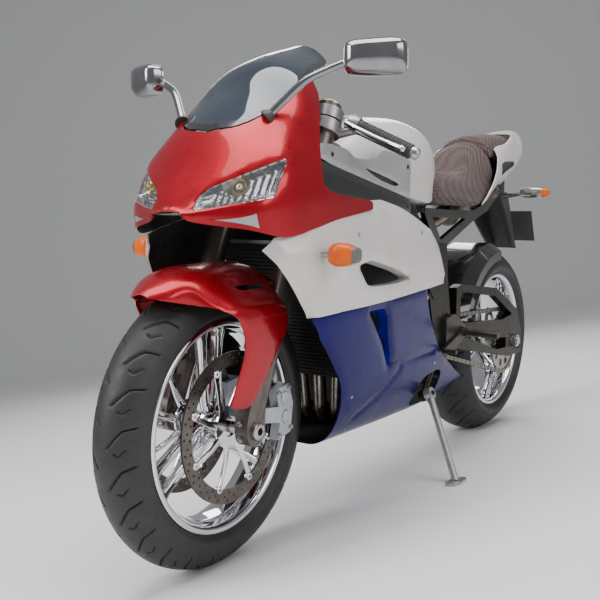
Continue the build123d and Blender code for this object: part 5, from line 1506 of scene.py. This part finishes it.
def makeIndicators():
    for label, spec in indicators.items():
        shape = Shape(2)
        shape.tube(smoothPath(spec["stalk"], 3), 8.0, 20)
        start = Vector(spec["lens"])
        reach, half = spec["reach"], spec["half"]
        for mark, outline in enumerate((spec["lensLine"], spec["bodyLine"])):
            shape.mark = mark
            sections = []
            for (along, size), (onward, after) in zip(outline, outline[1:]):
                steps = max(1, round((onward - along) / 0.05))
                for step in range(steps):
                    part = step / steps
                    ridge = 0.014 * (step % 2) if mark == 0 else 0.0  # the lens is ribbed across
                    sections.append((along + (onward - along) * part, size + (after - size) * part - ridge))
            sections.append(outline[-1])
            shape.loft([[start + Vector((a, reach * along, b * 0.93)) for a, b in
                         roundedRing(half * size, half * size, 0.56, 32)] for along, size in sections])
        shape.both()
        look = ["orange_lens", spec["body"], "boltSteel"]
        makePiece(label + "Indicators", shape, look, "chassis", [label + "_indicators"], sharp=50)


makeMirrors()
makeIndicators()
print("mirrors and indicators made")

bars = {
    "inner": (388, 176, 922), "outer": (368, 288, 868), "clip": 980.0, "clipHigh": 28.0, "ridges": 6.4,
    "lever": [(430, 160, 930), (434, 190, 916), (428, 230, 897), (424, 262, 884), (425, 294, 872)],
}


def makeBars():
    shape = Shape(1)
    inner, outer = Vector(bars["inner"]), Vector(bars["outer"])
    run = (outer - inner).normalized()
    shape.lathe([(0, 27.6), (0, 36.5), (1.5, 37.8), (26.5, 37.8), (28, 36.5), (28, 27.6)],
                onFork(forkOffset, forkSide, bars["clip"]), alongFork, 60)
    clamp = onFork(forkOffset - 26, 128, bars["clip"] + bars["clipHigh"] / 2)
    shape.tube([clamp, clamp.lerp(inner, 0.5), inner], [11, 11, 11], 24)
    shape.mark = 0
    length = (outer - inner).length
    profile, along = [(-6, 0.01), (-6, 16.8), (-3, 17), (0, 17)], 3.0
    while along < length - 6:
        profile += [(along, 16.9), (along + 1.2, 15.7), (along + 3.4, 15.7), (along + 4.6, 16.9)]
        along += bars["ridges"]
    profile += [(length - 1, 17), (length, 16), (length, 0.01)]
    shape.lathe(profile, inner, run, 40, looped=False)
    shape.mark = 2
    shape.lathe([(0, 0.01), (0, 13.4), (4, 13.9), (14, 13.9), (17.5, 12), (18, 0.01)], outer, run, 36,
                looped=False)
    shape.mark = 1
    # switch block and lever perch
    shape.lathe([(-34, 12), (-34, 19), (-31, 20.5), (-10, 20.5), (-7, 19), (-7, 12)], inner, run, 36)
    shape.mark = 3
    path = smoothPath(bars["lever"])
    shape.tube(path, [7.4 - 2.6 * k / (len(path) - 1) for k in range(len(path))], 16)
    shape.lathe([(-6, 0.01), (-6, 5), (-3, 6.4), (3, 6.4), (6, 5), (6, 0.01)], bars["lever"][-1],
                (0, 1, -0.4), 20, looped=False)
    bolt(shape, (430, 162, 934), (0.2, 0, 1), 4.5, 4)
    shape.both()
    makePiece("handlebars", shape, ["grip_rubber", "yoke_metal", "axle_steel", "wheel_chrome"], "steering",
              ["handlebars"], sharp=36)


makeBars()
print("handlebars made")

# the chain and its rear sprocket
drive = {"front": (-70, 402, 41.0), "rear": (-705, 311, 106.0), "y": 107.0, "pitch": 15.875, "link": 6.9,
         "roller": [(-5.5, 0.01), (-5.5, 2.4), (-2, 2.5), (-2, 4.6), (2, 4.6), (2, 2.5), (5.5, 2.4),
                    (5.5, 0.01)]}


def chainPath():
    # even stations along both straight runs and round both sprockets
    (fx, fz, fr), (rx, rz, rr) = drive["front"], drive["rear"]
    gap = hypot(fx - rx, fz - rz)
    heading = atan2(fz - rz, fx - rx)
    tilt = atan2(sqrt(gap ** 2 - (rr - fr) ** 2), rr - fr)
    high, low = heading + tilt, heading - tilt
    pieces = [
        ("line", (rx + rr * cos(high), rz + rr * sin(high)), (fx + fr * cos(high), fz + fr * sin(high))),
        ("arc", (fx, fz, fr), high, low),
        ("line", (fx + fr * cos(low), fz + fr * sin(low)), (rx + rr * cos(low), rz + rr * sin(low))),
        ("arc", (rx, rz, rr), low, high - 2 * pi),
    ]
    dense = []
    for kind, *data in pieces:
        for step in range(200):
            s = step / 200
            if kind == "line":
                (x1, z1), (x2, z2) = data
                dense.append((x1 + (x2 - x1) * s, z1 + (z2 - z1) * s))
            else:
                (x, z, radius), first, last = data
                angle = first + (last - first) * s
                dense.append((x + radius * cos(angle), z + radius * sin(angle)))
    dense.append(dense[0])
    lengths = [0.0]
    for first, second in zip(dense, dense[1:]):
        lengths.append(lengths[-1] + hypot(second[0] - first[0], second[1] - first[1]))
    count = 2 * round(lengths[-1] / drive["pitch"] / 2)
    stations, spot = [], 0
    for index in range(count):
        want = lengths[-1] * index / count
        while lengths[spot + 1] < want:
            spot += 1
        s = (want - lengths[spot]) / max(lengths[spot + 1] - lengths[spot], 1e-6)
        stations.append((dense[spot][0] + (dense[spot + 1][0] - dense[spot][0]) * s,
                         dense[spot][1] + (dense[spot + 1][1] - dense[spot][1]) * s))
    return stations


def makeChain():
    stations = chainPath()
    shape = Shape()
    for index, (x, z) in enumerate(stations):
        nextX, nextZ = stations[(index + 1) % len(stations)]
        heading = atan2(nextZ - z, nextX - x)
        reach = hypot(nextX - x, nextZ - z)
        outline = []
        for centre, start, waist in ((0, pi / 2, -5.0), (reach, -pi / 2, 5.0)):
            for k in range(7):
                angle = start + pi * k / 6
                outline.append((centre + drive["link"] * cos(angle), drive["link"] * sin(angle)))
            outline.append((reach / 2, waist))
        level = (3.5, 5.4) if index % 2 else (2.0, 3.5)
        flat = [(x + u * cos(heading) - v * sin(heading), z + u * sin(heading) + v * cos(heading))
                for u, v in outline]
        for side in (1, -1):
            shape.loft([[Vector((u, drive["y"] + side * deep, v)) for u, v in flat] for deep in level])
        shape.lathe(drive["roller"], (x, drive["y"], z), steps=10, looped=False)
    makePiece("driveChain", shape, ["chain_steel"], "chassis", ["chain"], sharp=40)


def makeRearSprocket():
    radius = drive["rear"][2]
    teeth = round(2 * pi * radius / drive["pitch"])
    outline = []
    for k in range(teeth * 6):
        angle = 2 * pi * k / (teeth * 6)
        reach = radius - 4.8 + 6.4 * (0.5 - 0.5 * cos(2 * pi * (k % 6) / 6))
        outline.append((rearAxle.x + reach * cos(angle), rearAxle.z + reach * sin(angle)))
    holes = [circle(rearAxle.x, rearAxle.z, 40, 40)]
    holes += [circle(x, z, 12.5, 20) for x, z in circle(rearAxle.x, rearAxle.z, 78, 10)]
    shape = Shape().slab(outline, drive["y"] - 3.0, drive["y"] + 3.0, holes)
    # the carrier between the sprocket and the hub
    shape.lathe([(drive["y"] - 2.9, 26.0), (drive["y"] - 2.9, 54.0), (72.0, 50.0), (61.0, 46.0), (60.1, 44.0),
                 (60.1, 26.0)], (rearAxle.x, 0, rearAxle.z), Vector((0, 1, 0)), 60)
    shape.mark = 1
    for k in range(5):
        spot = rearAxle + spoke(2 * pi * k / 5 + pi / 5)[0] * 52 + Vector((0, drive["y"] + 3.0, 0))
        bolt(shape, spot, radius=6, height=5)
    makePiece("rearSprocket", shape, ["sprocket_steel", "boltSteel"], "rear_wheel", ["rear_sprocket"])


makeChain()
makeRearSprocket()
print("chain and sprocket made")

# the radiator's fins
cooler = {"low": (368, 352), "high": (454, 664), "half": 150, "rows": 34, "ahead": 13.6,
          "fin": [(-1.4, 0), (0, 1.6), (1.4, 0), (0, -0.6)]}


def makeCooler():
    low, high = (Vector((x, 0, z)) for x, z in (cooler["low"], cooler["high"]))
    run = (high - low).normalized()
    front = Vector((run.z, 0, -run.x))
    shape = Shape()
    for k in range(cooler["rows"]):
        centre = low.lerp(high, (k + 1.5) / (cooler["rows"] + 2)) + front * cooler["ahead"]
        shape.loft([[centre + run * a + front * b + Vector((0, y, 0)) for a, b in cooler["fin"]]
                    for y in (-cooler["half"], cooler["half"])])
    makePiece("radiatorFins", shape, ["radiator_metal"], "chassis")


makeCooler()
print("radiator fins made")

# screws in the fairings, by their place in side view
screws = {"places": [(470, 690), (120, 690), (60, 520), (-60, 330), (400, 320)], "radius": 4.4, "sunk": 1.4}


def makeScrews():
    shape = Shape()
    for u, v in sideSkin.fromSide(screws["places"]):
        spot = sideSkin.at(u, v)
        east = sideSkin.at(u + 6, v) - sideSkin.at(u - 6, v)
        north = sideSkin.at(u, v + 8) - sideSkin.at(u, v - 8)
        normal = north.cross(east).normalized()
        normal = normal if normal.y > 0 else -normal
        bolt(shape, spot - normal * screws["sunk"], normal, screws["radius"], 2.2)
    shape.both()
    makePiece("fairingScrews", shape, ["boltSteel"], "chassis")


makeScrews()
print("screws made")

# soft edges on the pieces that the frame itself shows, with their widths in millimetres
edgeWidths = {
    "main_frame": 2.5, "swingarm": 2.5, "subframe": 1.2, "footrests": 1.0, "foot_levers": 0.8,
    "side_stand": 1.0, "front_calipers": 1.6, "rear_caliper": 1.6, "lower_yoke": 1.5, "upper_yoke": 1.5,
    "hugger": 1.0, "rear_mudguard": 1.0, "number_plate": 1.0, "engine_block": 3.0, "radiator": 1.5,
    "exhaust": 0.8, "instrument_panel": 1.5, "duct_panel": 1.0, "front_sprocket": 0.6, "rear_shock": 0.6, "fork_legs": 0.6,
    "front_axle": 0.8, "rear_axle": 0.8,
}
for nodeName, width in edgeWidths.items():
    rounding = frame["nodes"][nodeName].modifiers.new("edges", "BEVEL")
    rounding.width, rounding.segments = width * mm, 2
    rounding.limit_method, rounding.angle_limit = "ANGLE", radians(35)
print("edges softened")
